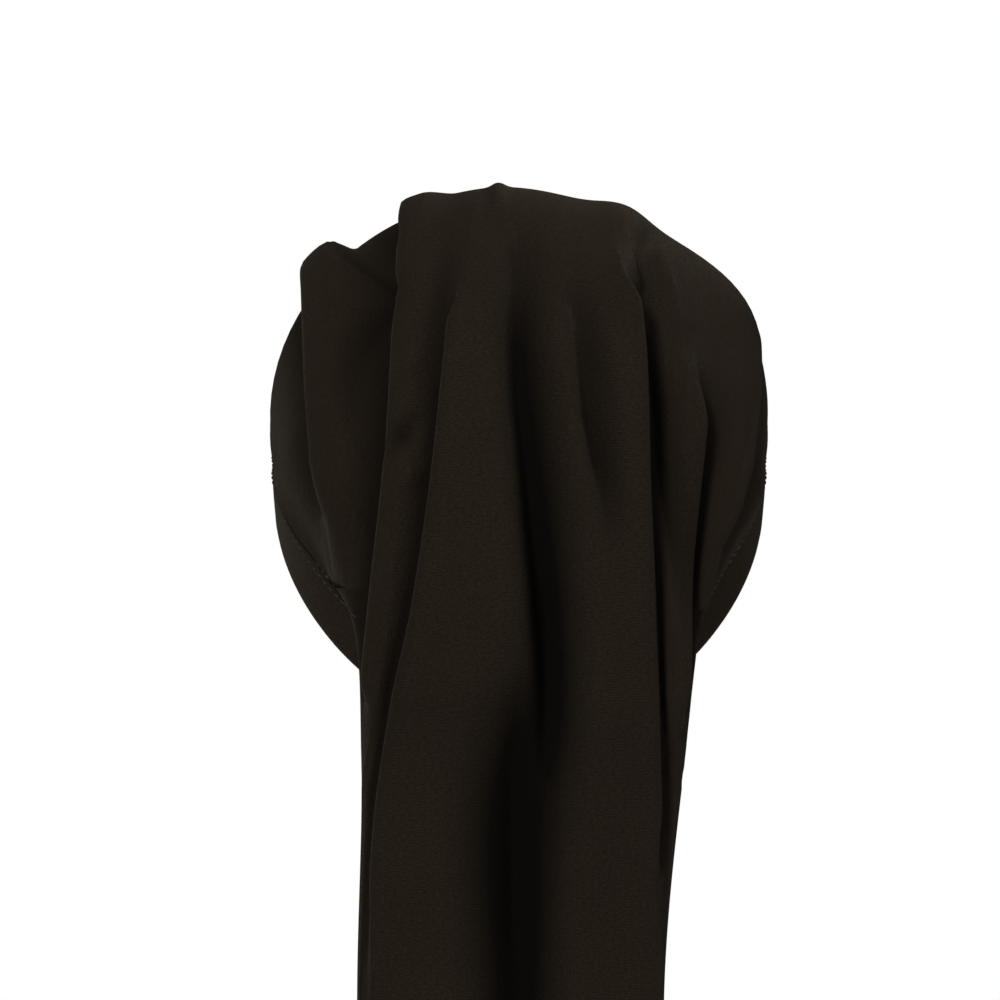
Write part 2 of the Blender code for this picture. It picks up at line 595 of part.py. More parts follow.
def main():
    for piece in list(bpy.data.objects):
        bpy.data.objects.remove(piece)
    knit = knit_material("black_knit", (0.013, 0.011, 0.009), 0.85)
    band = knit_material("band_knit", (0.016, 0.014, 0.012), 0.80)
    headband(band)
    hood_and_tail(knit)


main()
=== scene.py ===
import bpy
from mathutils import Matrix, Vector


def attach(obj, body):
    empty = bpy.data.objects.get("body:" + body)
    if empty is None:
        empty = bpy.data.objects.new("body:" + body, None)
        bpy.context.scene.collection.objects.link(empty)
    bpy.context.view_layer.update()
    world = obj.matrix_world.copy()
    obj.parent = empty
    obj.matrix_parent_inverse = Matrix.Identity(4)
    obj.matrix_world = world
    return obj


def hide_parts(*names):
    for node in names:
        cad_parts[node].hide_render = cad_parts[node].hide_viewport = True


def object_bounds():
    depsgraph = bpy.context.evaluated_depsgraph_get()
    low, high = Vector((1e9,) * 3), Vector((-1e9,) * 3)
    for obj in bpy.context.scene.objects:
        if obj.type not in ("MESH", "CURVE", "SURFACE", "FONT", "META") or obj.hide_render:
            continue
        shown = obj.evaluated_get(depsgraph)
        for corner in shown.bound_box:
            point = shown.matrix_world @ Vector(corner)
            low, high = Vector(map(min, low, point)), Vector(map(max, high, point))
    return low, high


bl_info = {
    "name": "Dreadlock cap",
    "version": (1, 0, 0),
    "blender": (4, 5, 0),
    "location": "3D View > Sidebar > Cap",
    "description": "Dresses the worn knit cap: its bag, its band, its stitches and the studio",
    "category": "Object",
}

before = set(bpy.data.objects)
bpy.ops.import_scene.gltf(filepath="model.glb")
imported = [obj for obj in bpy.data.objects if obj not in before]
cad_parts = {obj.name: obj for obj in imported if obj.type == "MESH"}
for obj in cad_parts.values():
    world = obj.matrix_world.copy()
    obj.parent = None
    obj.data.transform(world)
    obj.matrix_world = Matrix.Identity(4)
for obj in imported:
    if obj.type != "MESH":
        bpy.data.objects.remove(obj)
CAD_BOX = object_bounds()

import math
from collections import namedtuple

import bmesh
import bpy
import numpy as np
from bpy.props import FloatProperty, FloatVectorProperty, PointerProperty
from mathutils import Vector
from mathutils.bvhtree import BVHTree

# Counts
SAMPLES = 360              # points along each half of a section
SEAM_SAMPLES = 800         # points along the band's edge across the forehead
LIP_STEPS = 14             # columns across a lip
PANEL_STEPS = (14, 14, 20, 56, 16, 8, 14)  # and in each panel, from the left to the right
HANGING_STEPS = 40         # columns of the hanging layer
HEAD_ROWS = 116
TAIL_ROWS = 52             # even rows of the tail, which start this far after its start
TAIL_ROWS_FROM = 5.0
JOIN_ROWS = (0.7, 0.9, 1.1, 1.3, 1.55, 1.8, 2.1, 2.4, 2.75, 3.1, 3.5, 3.9, 4.3, 4.65)
BAND_STEPS = 360           # sections round the band
SEAM_RAYS = 500            # places looked for on the cloth beside the seam
BAND_POINTS = 800          # places along the row of stitches on the band
END_RAYS = 200             # places looked for on the cloth above the closed end
STITCH_SIDES = 6
FLOOR_CORNERS = 96

# Shares
LOBE_SINK = 1.0            # share of their height that the outer lobes sink again
BROW_POWER = 1.2           # how sharply the opening rises to the forehead
NAPE_POWER = 1.25          # and falls to the nape
BAND_LEAN = 0.06           # the band's lean outwards over the ears
BAND_LEAN_MORE = 0.10      # added to it at the nape, taken from it at the forehead
CURVE_PULL = 0.35          # pull of a section's side at both its ends
LIP_CROWDING = 0.42        # most of the space between two pleats that a lip takes up
LIP_EASE = 0.8             # how far a lip's ends are rounded off
ROLL_FROM = 0.6            # share of the pleats' height above which a lip rolls over
FADE_ABOVE = 0.4           # share of its full height at which a pleat needs its least space
PLEAT_EASE = 1.4           # the pleats' stretch beside the seam over that of the soft folds
FRONT_SOFTNESS = 0.6       # the soft folds' share in front of the crown
EDGE_NARROWS = 0.30        # the tail's edge lies this share of the tail's depth inside its side
EDGE_SINKS = 0.55          # and this share of it in front of its side
HANG_FROM = 0.8            # the nape layer leaves the band's line after this many bands
HANG_OVER = 4.0            # and hangs flat after this many more
LIP_ROLL_MOST = 0.95       # a lip rolls over by at most this share of its half width
BEAD_AT = 0.80             # place across a lip of the fold that stands up along it
BEAD_WIDTH = 0.13          # and half that fold's width
EDGE_TURNS = (0.3, 0.8, 0.0)  # the way in which the cloth leaves the tail's edge
SEAM_FADES = 3.0           # places over which the puff beside the seam comes and goes

# Lengths in metres of what only the fine cloth shows
BACK_STARTS = 0.035        # behind the middle of the head the creases have their full depth
LIP_BEAD = 0.0009          # the fold that stands up along each lip
PUFF_HEIGHT = 0.0004       # the cloth puffed up beside the seam
PUFF_AT = 0.0045
PUFF_WIDTH = 0.0030
GROOVE_DEPTH = 0.0008      # the crease above it
GROOVE_AT = 0.0115
SEAM_OVER = 0.0009         # the band's top edge takes the cloth's edge in by this much
THREAD = 0.00026           # half a thread's thickness
STITCH_LENGTH = 0.0027
STITCH_PITCH = 0.0038
ROW_FROM_SEAM = 0.0022     # each row of stitches beside the seam
END_ROW = 0.006            # the row of stitches above the closed end
RAY_REACH = 0.05           # how far a ray looks for the cloth
SEAM_RAYS_FROM = 0.012     # rays start this far outside the seam
END_RAYS_FROM = 0.03       # and this far behind the tail

# Finishes: how much each part of the knit's grain counts, and how fine it is
COURSE_RELIEF = 0.35
WALE_RELIEF = 0.22
LOOP_RELIEF = 3.4
LOOP_SCALE = 1500.0
LOOP_DETAIL = 2.0
LOOP_STRETCH = (0.45, 1.0, 1.0)
GRAIN_RANGE = (0.4, 3.0)   # the grain's hollows and ribs
DRIFT_SCALE = 22.0         # slow changes of shade over the cloth
DRIFT_DETAIL = 5.0
DRIFT_RANGE = (0.3, 0.7)
DRIFT_SHADES = (0.88, 1.12)
BUMP_STRENGTH = 0.55
TWIST_SCALE = 2600.0       # the thread's twist
TWIST_SHADES = (0.55, 1.5)

# Painted shade: the knit's colour is darkened deep in each fold, where shade falls
PAINTED_SHADE_DEEPEST = 1.35             # of the pleats' heights: as deep as the painted shade goes on darkening
PAINTED_SHADE_FROM = 0.06          # share of that depth at which it starts
FOLD_PAINTED_SHADE = 0.90          # share of its lightness that the knit's colour loses there to the painted shade
SUNK_PAINTED_SHADE = 0.45          # share of a pleat's sinking that counts as depth for the painted shade
PAINTED_SHADE_UNDER_FROM = 0.35          # share of the way to the next lip at which the cloth counts as under it, for the painted shade

EAR_ANGLE = math.radians(90)
TAIL_ANGLE = math.radians(141)

# The studio
CAMERA_PLACE = (0.0069, 1.5, 0.0055)
VIEW_WIDTH = 0.365         # metres across the picture at the middle of the head
SENSOR_WIDTH = 36
FLOOR_RADIUS = 1.5
FLOOR_BELOW = 0.06         # the floor's distance below the tail
WORLD_LIGHT = (1.0, 0.94, 0.86, 1.0)
# place, aim, width and share of the key light's power
LIGHTS = (
    ("key", (0.50, 1.35, 0.85), (0.0, 0.05, 0.0), 0.4, 1.0),
    ("fill", (-1.35, 0.85, 0.45), (0.0, 0.05, 0.0), 0.7, 0.36),
)

# Each section runs from side to side through a middle point, a shoulder and an end.
# reach and height give the middle, side_x, side_y and side_z the shoulder, and along
# is the end's place on the band's edge, from 0 at the ear to 1 where the tail begins.
# All are shares: height and side_z of the crown's height, or below 0 of the drop, reach
# of the back reach, or below 0 of the front reach, side_y of the back reach, and side_x
# and shift of the half width, or from TAIL_WIDTH_FROM on of the tail's half width.
TAIL_WIDTH_FROM = 26.0
Section = namedtuple("Section", "name place reach height side_x side_y side_z "
                                "along shift lean levels")
SECTIONS = (
    Section("front seam", 0.0, -0.990, 0.49, 0.975, 0.00, 0.13, 0.00, 0.0, 0.0, 0.0),
    Section("brow", 1.6, -0.920, 0.69, 0.990, 0.01, 0.18, 0.03, 0.0, 0.0, 0.0),
    Section("front of the crown", 3.6, -0.680, 0.89, 1.00, 0.02, 0.24, 0.07, 0.0, 0.0, 0.15),
    Section("top", 7.0, -0.130, 1.00, 1.00, 0.04, 0.29, 0.12, 0.0, 0.0, 0.65),
    Section("back of the crown", 10.5, 0.440, 0.91, 0.99, 0.20, 0.29, 0.19, 0.0, 0.1, 1.0),
    Section("back of the head", 14.5, 0.880, 0.58, 0.965, 0.33, 0.14, 0.28, 0.0, 0.25, 1.0),
    Section("drape", 18.0, 1.000, 0.20, 0.94, 0.43, 0.01, 0.40, 0.0, 0.35, 1.0),
    Section("lower drape", 20.6, 1.020, -0.045, 0.79, 0.60, -0.048, 0.62, -0.015, 0.5, 1.0),
    Section("nape", 23.0, 1.010, -0.130, 0.67, 0.78, -0.100, 1.00, -0.03, 0.7, 1.0),
    Section("top of the tail", 26.0, 0.990, -0.240, 1.045, 0.84, -0.235, 1.3, -0.02, 0.9, 1.0),
    Section("middle of the tail", 30.0, 0.970, -0.450, 0.99, 0.87, -0.450, 2.0, 0.06, 1.0, 1.0),
    Section("low on the tail", 34.0, 0.960, -0.720, 1.0, 0.87, -0.720, 3.0, 0.05, 1.0, 0.8),
    Section("closed end", 39.0, 0.940, -1.000, 1.0, 0.90, -1.000, 4.0, 0.0, 1.0, 0.1),
)
TAIL_STARTS = 23.0         # place of the section where the hanging layer begins
LAST_PLACE = 39.0
TOP_PLACE = 7.0
DRAPE_PLACE = 18.0

# How the cloth rolls off the band at the nape before it hangs: the rows' places after
# TAIL_STARTS, the way out as a share of the nape clearance, and the rise as one of the
# seam roll.
ROLL_ROWS = (0.18, 0.36, 0.54)
ROLL_OUT = (0.35, 0.85, 1.05)
ROLL_UP = (0.80, 0.70, -0.90)
ROLL_ENDS = 0.54
EDGE_FALLS = 1.3           # further on, the tail's edge has fallen to its own height
EDGE_SETTLES = 3.0         # and has reached its own side

# Heights at which the fold tables below give their places, from the crown down: a share
# of the crown's height, or below the opening a share of the drop
FOLD_LEVELS = (0.97, 0.81, 0.64, 0.49, 0.34, 0.05, -0.08, -0.17, -0.27, -0.45, -1.00)

# Pleats, from the left edge to the right edge. x is the lip's place at each fold
# level as a share of the half width, and high its height there as one of the pleat height.
Pleat = namedtuple("Pleat", "name x high")
LEFT_PLEATS = (
    Pleat("outer lobe", (0.77, 0.775, 0.775, 0.77, 0.765, 0.745, 0.71, 0.68, 0.69, 0.69, 0.69),
          (0.0, 1.6, 1.1, 1.0, 0.95, 0.75, 0.0, 0.0, 0.0, 0.0, 0.0)),
    Pleat("side ridge", (0.42, 0.425, 0.43, 0.44, 0.45, 0.485, 0.535, 0.58, 0.61, 0.65, 0.65),
          (1.1, 0.9, 0.9, 1.0, 1.05, 1.05, 1.0, 0.9, 0.5, 0.0, 0.0)),
    Pleat("middle ridge", (0.19, 0.21, 0.225, 0.235, 0.255, 0.3, 0.365, 0.45, 0.52, 0.58, 0.57),
          (0.0, 0.2, 0.6, 0.95, 1.05, 1.1, 1.1, 1.1, 1.1, 1.0, 0.9)),
)
RIGHT_PLEATS = (
    Pleat("middle ridge", (0.37, 0.38, 0.395, 0.415, 0.425, 0.44, 0.465, 0.49, 0.51, 0.54, 0.54),
          (0.0, 0.15, 0.7, 1.1, 1.2, 1.2, 1.15, 1.0, 0.9, 0.8, 0.8)),
    Pleat("side ridge", (0.68, 0.69, 0.69, 0.69, 0.675, 0.64, 0.62, 0.62, 0.62, 0.65, 0.65),
          (0.0, 0.0, 0.0, 0.1, 0.7, 1.0, 1.0, 0.9, 0.5, 0.0, 0.0)),
    Pleat("outer lobe", (0.94, 0.94, 0.94, 0.94, 0.92, 0.81, 0.72, 0.72, 0.71, 0.71, 0.71),
          (0.0, 0.0, 0.0, 0.2, 0.5, 0.9, 0.3, 0.0, 0.0, 0.0, 0.0)),
)

# Soft folds, with no lip. high is a share of the pleat height, below 0 for a valley,
# and wide is a share of the half width.
Soft = namedtuple("Soft", "name x high wide")
SOFT_FOLDS = (
    Soft("middle valley",
         (-0.06, -0.05, -0.03, -0.02, -0.04, -0.08, -0.11, -0.13, -0.12, -0.05, 0.00),
         (0.0, -0.2, -0.5, -0.8, -0.9, -1.0, -1.3, -1.1, -0.7, -0.3, 0.0), 0.10),
    Soft("tail valley", (0.10, 0.10, 0.08, 0.06, 0.04, 0.02, 0.0, 0.02, 0.06, 0.04, 0.00),
         (0.0, 0.0, 0.0, 0.0, 0.0, 0.0, 0.0, -0.5, -1.3, -1.3, -0.6), 0.15),
    Soft("right valley",
         (-0.22, -0.23, -0.24, -0.26, -0.30, -0.34, -0.38, -0.40, -0.40, -0.40, -0.40),
         (0.0, 0.0, -0.3, -0.5, -0.5, -0.3, 0.0, 0.0, 0.0, 0.0, 0.0), 0.06),
    Soft("right crown lobe",
         (-0.42, -0.42, -0.46, -0.50, -0.55, -0.60, -0.60, -0.60, -0.60, -0.60, -0.60),
         (0.6, 0.5, 0.5, 0.4, 0.2, 0.0, 0.0, 0.0, 0.0, 0.0, 0.0), 0.12),
    Soft("outer right swell",
         (-0.80, -0.86, -0.90, -0.92, -0.92, -0.90, -0.85, -0.8, -0.8, -0.8, -0.8),
         (0.7, 0.8, 0.6, 0.15, 0.0, 0.0, 0.0, 0.0, 0.0, 0.0, 0.0), 0.18),
    Soft("crown tip", (0.08, 0.07, 0.05, 0.04, 0.03, 0.0, 0.0, 0.0, 0.0, 0.0, 0.0),
         (0.27, 0.0, 0.0, 0.0, 0.0, 0.0, 0.0, 0.0, 0.0, 0.0, 0.0), 0.03),
)

# Where the outer lobe's upper edge crosses the crown, from its tip to the side ridge
LOBE_TIP = (0.78, 0.86)    # shares of the half width and of the crown's height
LOBE_FOOT = (0.46, 0.68)

# Creases and small ridges that have no lip: points across the back as shares of the half
# width and of the crown's height (of the drop below the opening), the height at each point
# as a share of the pleats' height, and the widths on their left and right, in metres.
Crease = namedtuple("Crease", "name x z high left right")
CREASES = (
    Crease("middle valley", (0.02, 0.027, 0.02, 0.0, -0.03, -0.068, -0.084, -0.095, -0.095),
           (0.746, 0.487, 0.338, 0.197, -0.015, -0.107, -0.15, -0.209, -0.26),
           (-0.3, -0.70, -0.80, -0.95, -1.15, -1.25, -1.0, -0.6, 0.0), 0.0026, 0.0065),
    Crease("second valley", (-0.152, -0.206, -0.225, -0.24, -0.271, -0.316, -0.336),
           (0.664, 0.549, 0.388, 0.261, 0.141, -0.004, -0.042),
           (0.0, -0.35, -0.70, -0.90, -0.85, -0.30, 0.0), 0.0024, 0.0055),
    Crease("low valley", (0.0, 0.01, 0.025, 0.03, 0.03, 0.025, 0.02, 0.02, 0.03),
           (-0.137, -0.17, -0.229, -0.278, -0.327, -0.393, -0.433, -0.649, -0.934),
           (0.0, -0.3, -0.7, -0.9, -0.9, -0.7, -0.5, -0.3, -0.1), 0.0050, 0.0080),
    Crease("left lobe valley",
           (0.462, 0.55, 0.607, 0.634, 0.615), (0.637, 0.575, 0.493, 0.388, 0.197),
           (-0.20, -0.45, -0.50, -0.35, 0.0), 0.0045, 0.0050),
    Crease("crown crease", (0.455, 0.47), (0.822, 0.763), (-0.25, 0.0), 0.0022, 0.0022),
    Crease("lobe edge",
           (0.74, 0.62, 0.458), (0.80, 0.735, 0.663), (-0.10, -0.40, -0.30), 0.0018, 0.0018),
    Crease("upper wrinkle",
           (0.365, 0.40, 0.435), (0.44, 0.405, 0.37), (0.20, 0.45, 0.10), 0.0032, 0.0022),
    Crease("wrinkle valley",
           (0.39, 0.425, 0.458), (0.262, 0.22, 0.179), (-0.30, -0.75, -0.30), 0.0032, 0.0036),
    Crease("lower wrinkle",
           (0.36, 0.40, 0.44), (0.125, 0.108, 0.09), (0.20, 0.45, 0.10), 0.0032, 0.0022),
    Crease("right lobe ridge", (-0.378, -0.412), (0.713, 0.575), (0.20, 0.25), 0.0060, 0.0060),
    Crease("right shoulder valley",
           (-0.48, -0.50, -0.52), (0.80, 0.66, 0.54), (-0.30, -0.55, -0.15), 0.0045, 0.0060),
    Crease("small lobe ridge", (-0.542, -0.568, -0.591, -0.591), (0.763, 0.664, 0.564, 0.482),
           (0.25, 0.45, 0.42, 0.08), 0.0040, 0.0055),
    Crease("right valley", (-0.455, -0.49, -0.515, -0.53, -0.58, -0.62),
           (0.66, 0.449, 0.323, 0.141, -0.042, -0.118),
           (-0.3, -0.7, -0.85, -0.8, -0.6, -0.1), 0.0030, 0.0080),
    Crease("tail crease", (-0.183, -0.175), (-0.209, -0.399), (0.10, 0.12), 0.0030, 0.0022),
    Crease("diagonal crease", (-0.61, -0.545), (-0.209, -0.246), (-0.25, -0.10), 0.0022, 0.0022),
)


# The band's section round its edge: shares of its width and of half its thickness
BAND_PROFILE = (
    (0.0, 0.35), (0.02, 0.7), (0.10, 0.95), (0.22, 1.0), (0.35, 1.05), (0.5, 1.08), (0.65, 1.05),
    (0.78, 1.0), (0.92, 0.9), (0.98, 0.7), (1.0, 0.4), (1.0, -0.4), (0.98, -0.7), (0.92, -0.9),
    (0.7, -1.0), (0.5, -1.0), (0.3, -1.0), (0.10, -0.95), (0.02, -0.7), (0.0, -0.35),
)

# The rings of a stitch: place along it as a share of its length, then rise and girth as
# shares of half a thread
STITCH_RINGS = ((-0.5, -1.0, 0.5), (-0.42, 0.1, 0.9), (-0.15, 0.55, 1.0),
                (0.15, 0.55, 1.0), (0.42, 0.1, 0.9), (0.5, -1.0, 0.5))


def smooth(value):
    """Eases from 0 to 1."""
    t = np.clip(value, 0.0, 1.0)
    return t * t * (3.0 - 2.0 * t)


def through(stations, values, at):
    """Reads a smooth curve through the stations, rising or falling, at the places asked for."""
    xs = np.asarray(stations, float)
    ys = np.asarray(values, float)
    slopes = np.gradient(ys, xs)
    at = np.clip(at, xs[0], xs[-1])
    i = np.clip(np.searchsorted(xs, at) - 1, 0, len(xs) - 2)
    span = xs[i + 1] - xs[i]
    t = (at - xs[i]) / span
    rise = ys[i] * (1 + 2 * t) * (1 - t) ** 2 + ys[i + 1] * t * t * (3 - 2 * t)
    return rise + span * (slopes[i] * t * (1 - t) ** 2 - slopes[i + 1] * t * t * (1 - t))


def upright(s, share):
    """A height for its share: of the crown's height, or below 0 of the drop."""
    return share * (s.crown_height if share > 0 else s.drop)


def at_height(s, values, height):
    """Reads a row of a fold table at a height."""
    stations = [upright(s, level) for level in FOLD_LEVELS[::-1]]
    return through(stations, values[::-1], height)


def unit(vectors):
    """Vectors made one long."""
    return vectors / np.maximum(np.linalg.norm(vectors, axis=-1, keepdims=True), 1e-12)


def opening_edge(s, angle):
    """A point on the opening's lower edge. Angle 0 is the forehead, a quarter turn the left ear."""
    forward = np.maximum(np.cos(angle), 0.0)
    backward = np.maximum(-np.cos(angle), 0.0)
    x = s.opening_half_width * np.sin(angle)
    y = s.nape_reach * backward - s.front_reach * forward
    z = s.brow_rise * forward ** BROW_POWER - s.nape_drop * backward ** NAPE_POWER
    return np.stack([x, y, z], axis=-1)


def opening_frame(s, angle):
    """Edge point, outward direction and direction up the band, at an angle round the opening."""
    step = 1e-4
    point = opening_edge(s, angle)
    along = unit(opening_edge(s, angle + step) - opening_edge(s, angle - step))
    flat = np.stack([along[..., 0], along[..., 1], np.zeros_like(along[..., 0])], axis=-1)
    out = unit(np.cross(flat, np.array([0.0, 0.0, 1.0])))
    up = unit(np.cross(out, along))
    lean = BAND_LEAN - BAND_LEAN_MORE * np.cos(angle)
    up = unit(up + lean[..., None] * out)
    return point, out, up


def seam_point(s, angle):
    """Where the cloth's edge meets the band, and the way out and up there."""
    point, out, up = opening_frame(s, angle)
    return point + up * (s.band_width + s.seam_gap), out, up


def seam_angle(along):
    """Angle round the opening for a share of the way from the ear to the tail."""
    return EAR_ANGLE + (TAIL_ANGLE - EAR_ANGLE) * along


def sections(s):
    """The table of sections at the sizes given."""
    rows = []
    for row in SECTIONS:
        width = s.tail_half_width if row.place >= TAIL_WIDTH_FROM else s.half_width
        rows.append(row._replace(
            reach=row.reach * (s.front_reach if row.reach < 0 else s.back_reach),
            height=upright(s, row.height), side_x=row.side_x * width,
            side_y=row.side_y * s.back_reach, side_z=upright(s, row.side_z),
            shift=row.shift * width))
    return rows


def section_values(s, place):
    """The table of sections, read at any place."""
    table = sections(s)
    stations = [row.place for row in table]
    columns = {name: np.array([getattr(row, name) for row in table])
               for name in Section._fields if name != "name"}
    return {name: float(through(stations, values, place)) for name, values in columns.items()}


def rolled_seam(s, angle, beyond):
    """The band's edge, moved out and up as the cloth rolls off it past the tail's start."""
    seam, out, up = seam_point(s, angle)
    rows = (0.0,) + ROLL_ROWS
    away = np.interp(beyond, rows, (0.0,) + ROLL_OUT) * s.nape_clearance
    rise = np.interp(beyond, rows, (0.0,) + ROLL_UP) * s.seam_roll
    return seam + out * away + up * rise


def half_section(s, row, side):
    """Points from the middle of a section to its end, on one side (1 left, -1 right)."""
    quarter = np.linspace(0, math.pi / 2, SAMPLES)
    middle = np.array([0.0, row["reach"], row["height"]])
    shoulder = np.array([row["side_x"], row["side_y"], row["side_z"]])
    _, _, up = seam_point(s, np.array(seam_angle(min(row["along"], 1.0))))
    beyond = row["place"] - TAIL_STARTS
    tail = float(smooth((beyond - ROLL_ENDS) / EDGE_SETTLES))
    fall = float(smooth((beyond - ROLL_ENDS) / EDGE_FALLS))
    hang = np.array([row["side_x"] - EDGE_NARROWS * s.tail_depth,
                     row["side_y"] - EDGE_SINKS * s.tail_depth, row["side_z"]])
    rolled = rolled_seam(s, np.array(seam_angle(min(row["along"], 1.0))), beyond)
    end = rolled + (hang - rolled) * [tail, tail, fall]
    arc = middle + np.stack([np.sin(quarter) * shoulder[0],
                             (1 - np.cos(quarter)) * (shoulder[1] - middle[1]),
                             (1 - np.cos(quarter)) * (shoulder[2] - middle[2])], axis=-1)
    reach = np.linalg.norm(end - shoulder)
    pull = shoulder + unit((shoulder - middle) * [0, 1, 1]) * reach * CURVE_PULL
    turned = up * (1 - tail) + np.array(EDGE_TURNS) * tail
    stand = end + turned * max(reach * CURVE_PULL, 2 * s.seam_roll)
    t = np.linspace(0, 1, SAMPLES // 2)[1:, None]
    bend = ((1 - t) ** 3 * shoulder + 3 * t * (1 - t) ** 2 * pull
            + 3 * t * t * (1 - t) * stand + t ** 3 * end)
    points = np.concatenate([arc, bend])
    points[:, 0] *= side
    held = 1 - (1 - tail) * smooth(t[:, 0])
    points[:, 0] += row["shift"] * np.concatenate([np.ones(SAMPLES), held])
    return points


def lengths(points):
    """How far along a line each of its points lies."""
    steps = np.linalg.norm(np.diff(points, axis=0), axis=1)
    return np.concatenate([[0.0], np.cumsum(steps)])


def along_curve(points, run, at):
    """Points of a line at the lengths asked for."""
    return np.stack([np.interp(at, run, points[:, k]) for k in range(3)], axis=-1)


def pleat_places(s, points, run, pleats, place):
    """How far along a half section each pleat's lip lies, outermost first, and its height."""
    places = []
    heights = []
    for pleat in pleats:
        gap = points[:, 0] - at_height(s, pleat.x, points[:, 2]) * s.half_width
        crossed = np.nonzero(gap >= 0)[0]
        here = crossed[0] if len(crossed) else len(points) - 1
        places.append(run[here])
        if len(crossed) and here:
            places[-1] = np.interp(0, gap[here - 1:here + 1], run[here - 1:here + 1])
        level = along_curve(points, run, np.array([places[-1]]))[0][2]
        heights.append(float(at_height(s, pleat.high, level)))
    shoulder = run[SAMPLES - 1] + 0.5 * s.least_space
    held = float(smooth((place - DRAPE_PLACE) / (TAIL_STARTS - DRAPE_PLACE)))
    limit = run[-1] - s.flat_space
    for i, height in enumerate(heights):
        places[i] = min(places[i], limit)
        more = (s.least_space - s.flat_space) * float(smooth(height / FADE_ABOVE))
        limit = places[i] - s.flat_space - more
        on_back = float(smooth((shoulder - places[i]) / s.least_space))
        heights[i] = height * (1 - held * (1 - on_back))
    return places, heights


def lip_widths(s, places, end):
    """Half the width of each lip, shrunk where the pleats crowd."""
    bounds = [end] + list(places) + [0.0]
    return [min(s.lip_width, LIP_CROWDING * min(a - b, b - c))
            for a, b, c in zip(bounds, bounds[1:], bounds[2:])]


def half_columns(s, points, run, pleats, side, place, fade):
    """Places, widths and heights of the lips on a half section, outermost first."""
    if place < TOP_PLACE:
        top = half_section(s, section_values(s, TOP_PLACE), side) * [side, 1, 1]
        top_run = lengths(top)
        places, heights = pleat_places(s, top, top_run, pleats, place)
        places = [p * run[-1] / top_run[-1] for p in places]
    else:
        places, heights = pleat_places(s, points, run, pleats, place)
    widths = lip_widths(s, places, run[-1])
    ease = PLEAT_EASE * s.seam_ease
    heights = [max(h, 0.0) * s.pleat_height * fade * float(smooth((run[-1] - p) / ease))
               for h, p in zip(heights, places)]
    return places, widths, heights


def lip_rise(t):
    """The height across a lip: steep at its middle and eased at both ends."""
    return LIP_EASE * t * t * (3 - 2 * t) + (1 - LIP_EASE) * t


def half_offsets(s, places, widths, heights, end, panel_steps, raised):
    """A half section's columns from its end to its last lip: place, level and depth under a lip,
    which sets the painted shade.
    """
    columns = []
    level = 0.0
    sink = 0.0
    outer = end
    lips = zip(places, widths, heights, panel_steps)
    for pleat, (place, width, height, steps) in enumerate(lips):
        inner = place + width
        crest = level
        # painted shade: part of the pleat's sinking counts as depth in the fold
        dark = SUNK_PAINTED_SHADE * sink
        for i in range(steps + 1):
            share = i / steps
            if pleat == 0 and i:
                first = min(1 / steps, s.seam_roll / (outer - inner))
                share = first + (1 - first) * (i - 1) / (steps - 1)
            here = outer + (inner - outer) * share
            level = crest - sink * float(smooth(share))
            if pleat == 1:
                level *= raised(here)
            # painted shade: the depth grows towards the foot of the next lip
            near = float(smooth((share - PAINTED_SHADE_UNDER_FROM) / (1 - PAINTED_SHADE_UNDER_FROM)))
            under = dark * float(smooth(share)) + max(height - dark, 0.0) * near
            if i < steps:
                columns.append((here, level, under))
        full = height / s.pleat_height
        roll = s.lip_reach * np.clip((full - ROLL_FROM) / (1 - ROLL_FROM), 0, 1)
        roll = min(roll, LIP_ROLL_MOST * width)
        for i in range(LIP_STEPS):
            turn = -1 + 2 * i / LIP_STEPS
            across = (turn + 1) / 2
            side = place - width * turn + roll * math.sin(math.pi * turn)
            bead = LIP_BEAD * min(full, 1) * math.exp(-((across - BEAD_AT) / BEAD_WIDTH) ** 2)
            # painted shade: the depth falls from the lip's foot to its crest
            columns.append((side, level + height * lip_rise(across) + bead, height * (1 - across)))
        level += height
        sink = (LOBE_SINK if pleat == 0 else s.pleat_sink) * height
        outer = place - width
    columns.append((outer, level, 0.0))
    return columns


def lobe_share(s, point):
    """How far the left lobe stands up at a point: nothing above its upper edge."""
    slope = (LOBE_TIP[1] - LOBE_FOOT[1]) / (LOBE_TIP[0] - LOBE_FOOT[0])
    edge = (LOBE_FOOT[1] + slope * (point[0] / s.half_width - LOBE_FOOT[0])) * s.crown_height
    return float(smooth((edge - point[2]) / s.lobe_edge_width + 0.5))


def half_row(s, row, place, side, pleats, steps):
    """A half section's points and lengths, and the columns along it with their levels."""
    points = half_section(s, row, side)
    mirror = points * [side, 1, 1]
    run = lengths(mirror)
    places, widths, heights = half_columns(s, mirror, run, pleats, side, place, row["levels"])

    def raised(at):
        return lobe_share(s, along_curve(mirror, run, np.array([at]))[0]) if side > 0 else 1.0

    return points, run, half_offsets(s, places, widths, heights, run[-1], steps, raised)


def ways_out(s, row, line, run, at, base):
    """The way in which the cloth stands off each point of a row's base line."""
    ahead = along_curve(line, run, np.clip(at - s.normal_step, run[0], run[-1]))
    behind = along_curve(line, run, np.clip(at + s.normal_step, run[0], run[-1]))
    tangent = unit(ahead - behind)
    flat = np.array([0.0, row["side_y"] - row["reach"], row["side_z"] - row["height"]])
    plane = unit(np.cross([1.0, 0.0, 0.0], flat))
    normal = unit(np.cross(plane, tangent))
    centre = np.array([0.0, row["side_y"], row["side_z"]])
    normal *= np.where(np.sum(normal * (base - centre), axis=1) < 0, -1.0, 1.0)[:, None]
    return unit((1 - row["lean"]) * normal + row["lean"] * np.array([0.0, 1.0, 0.0]))


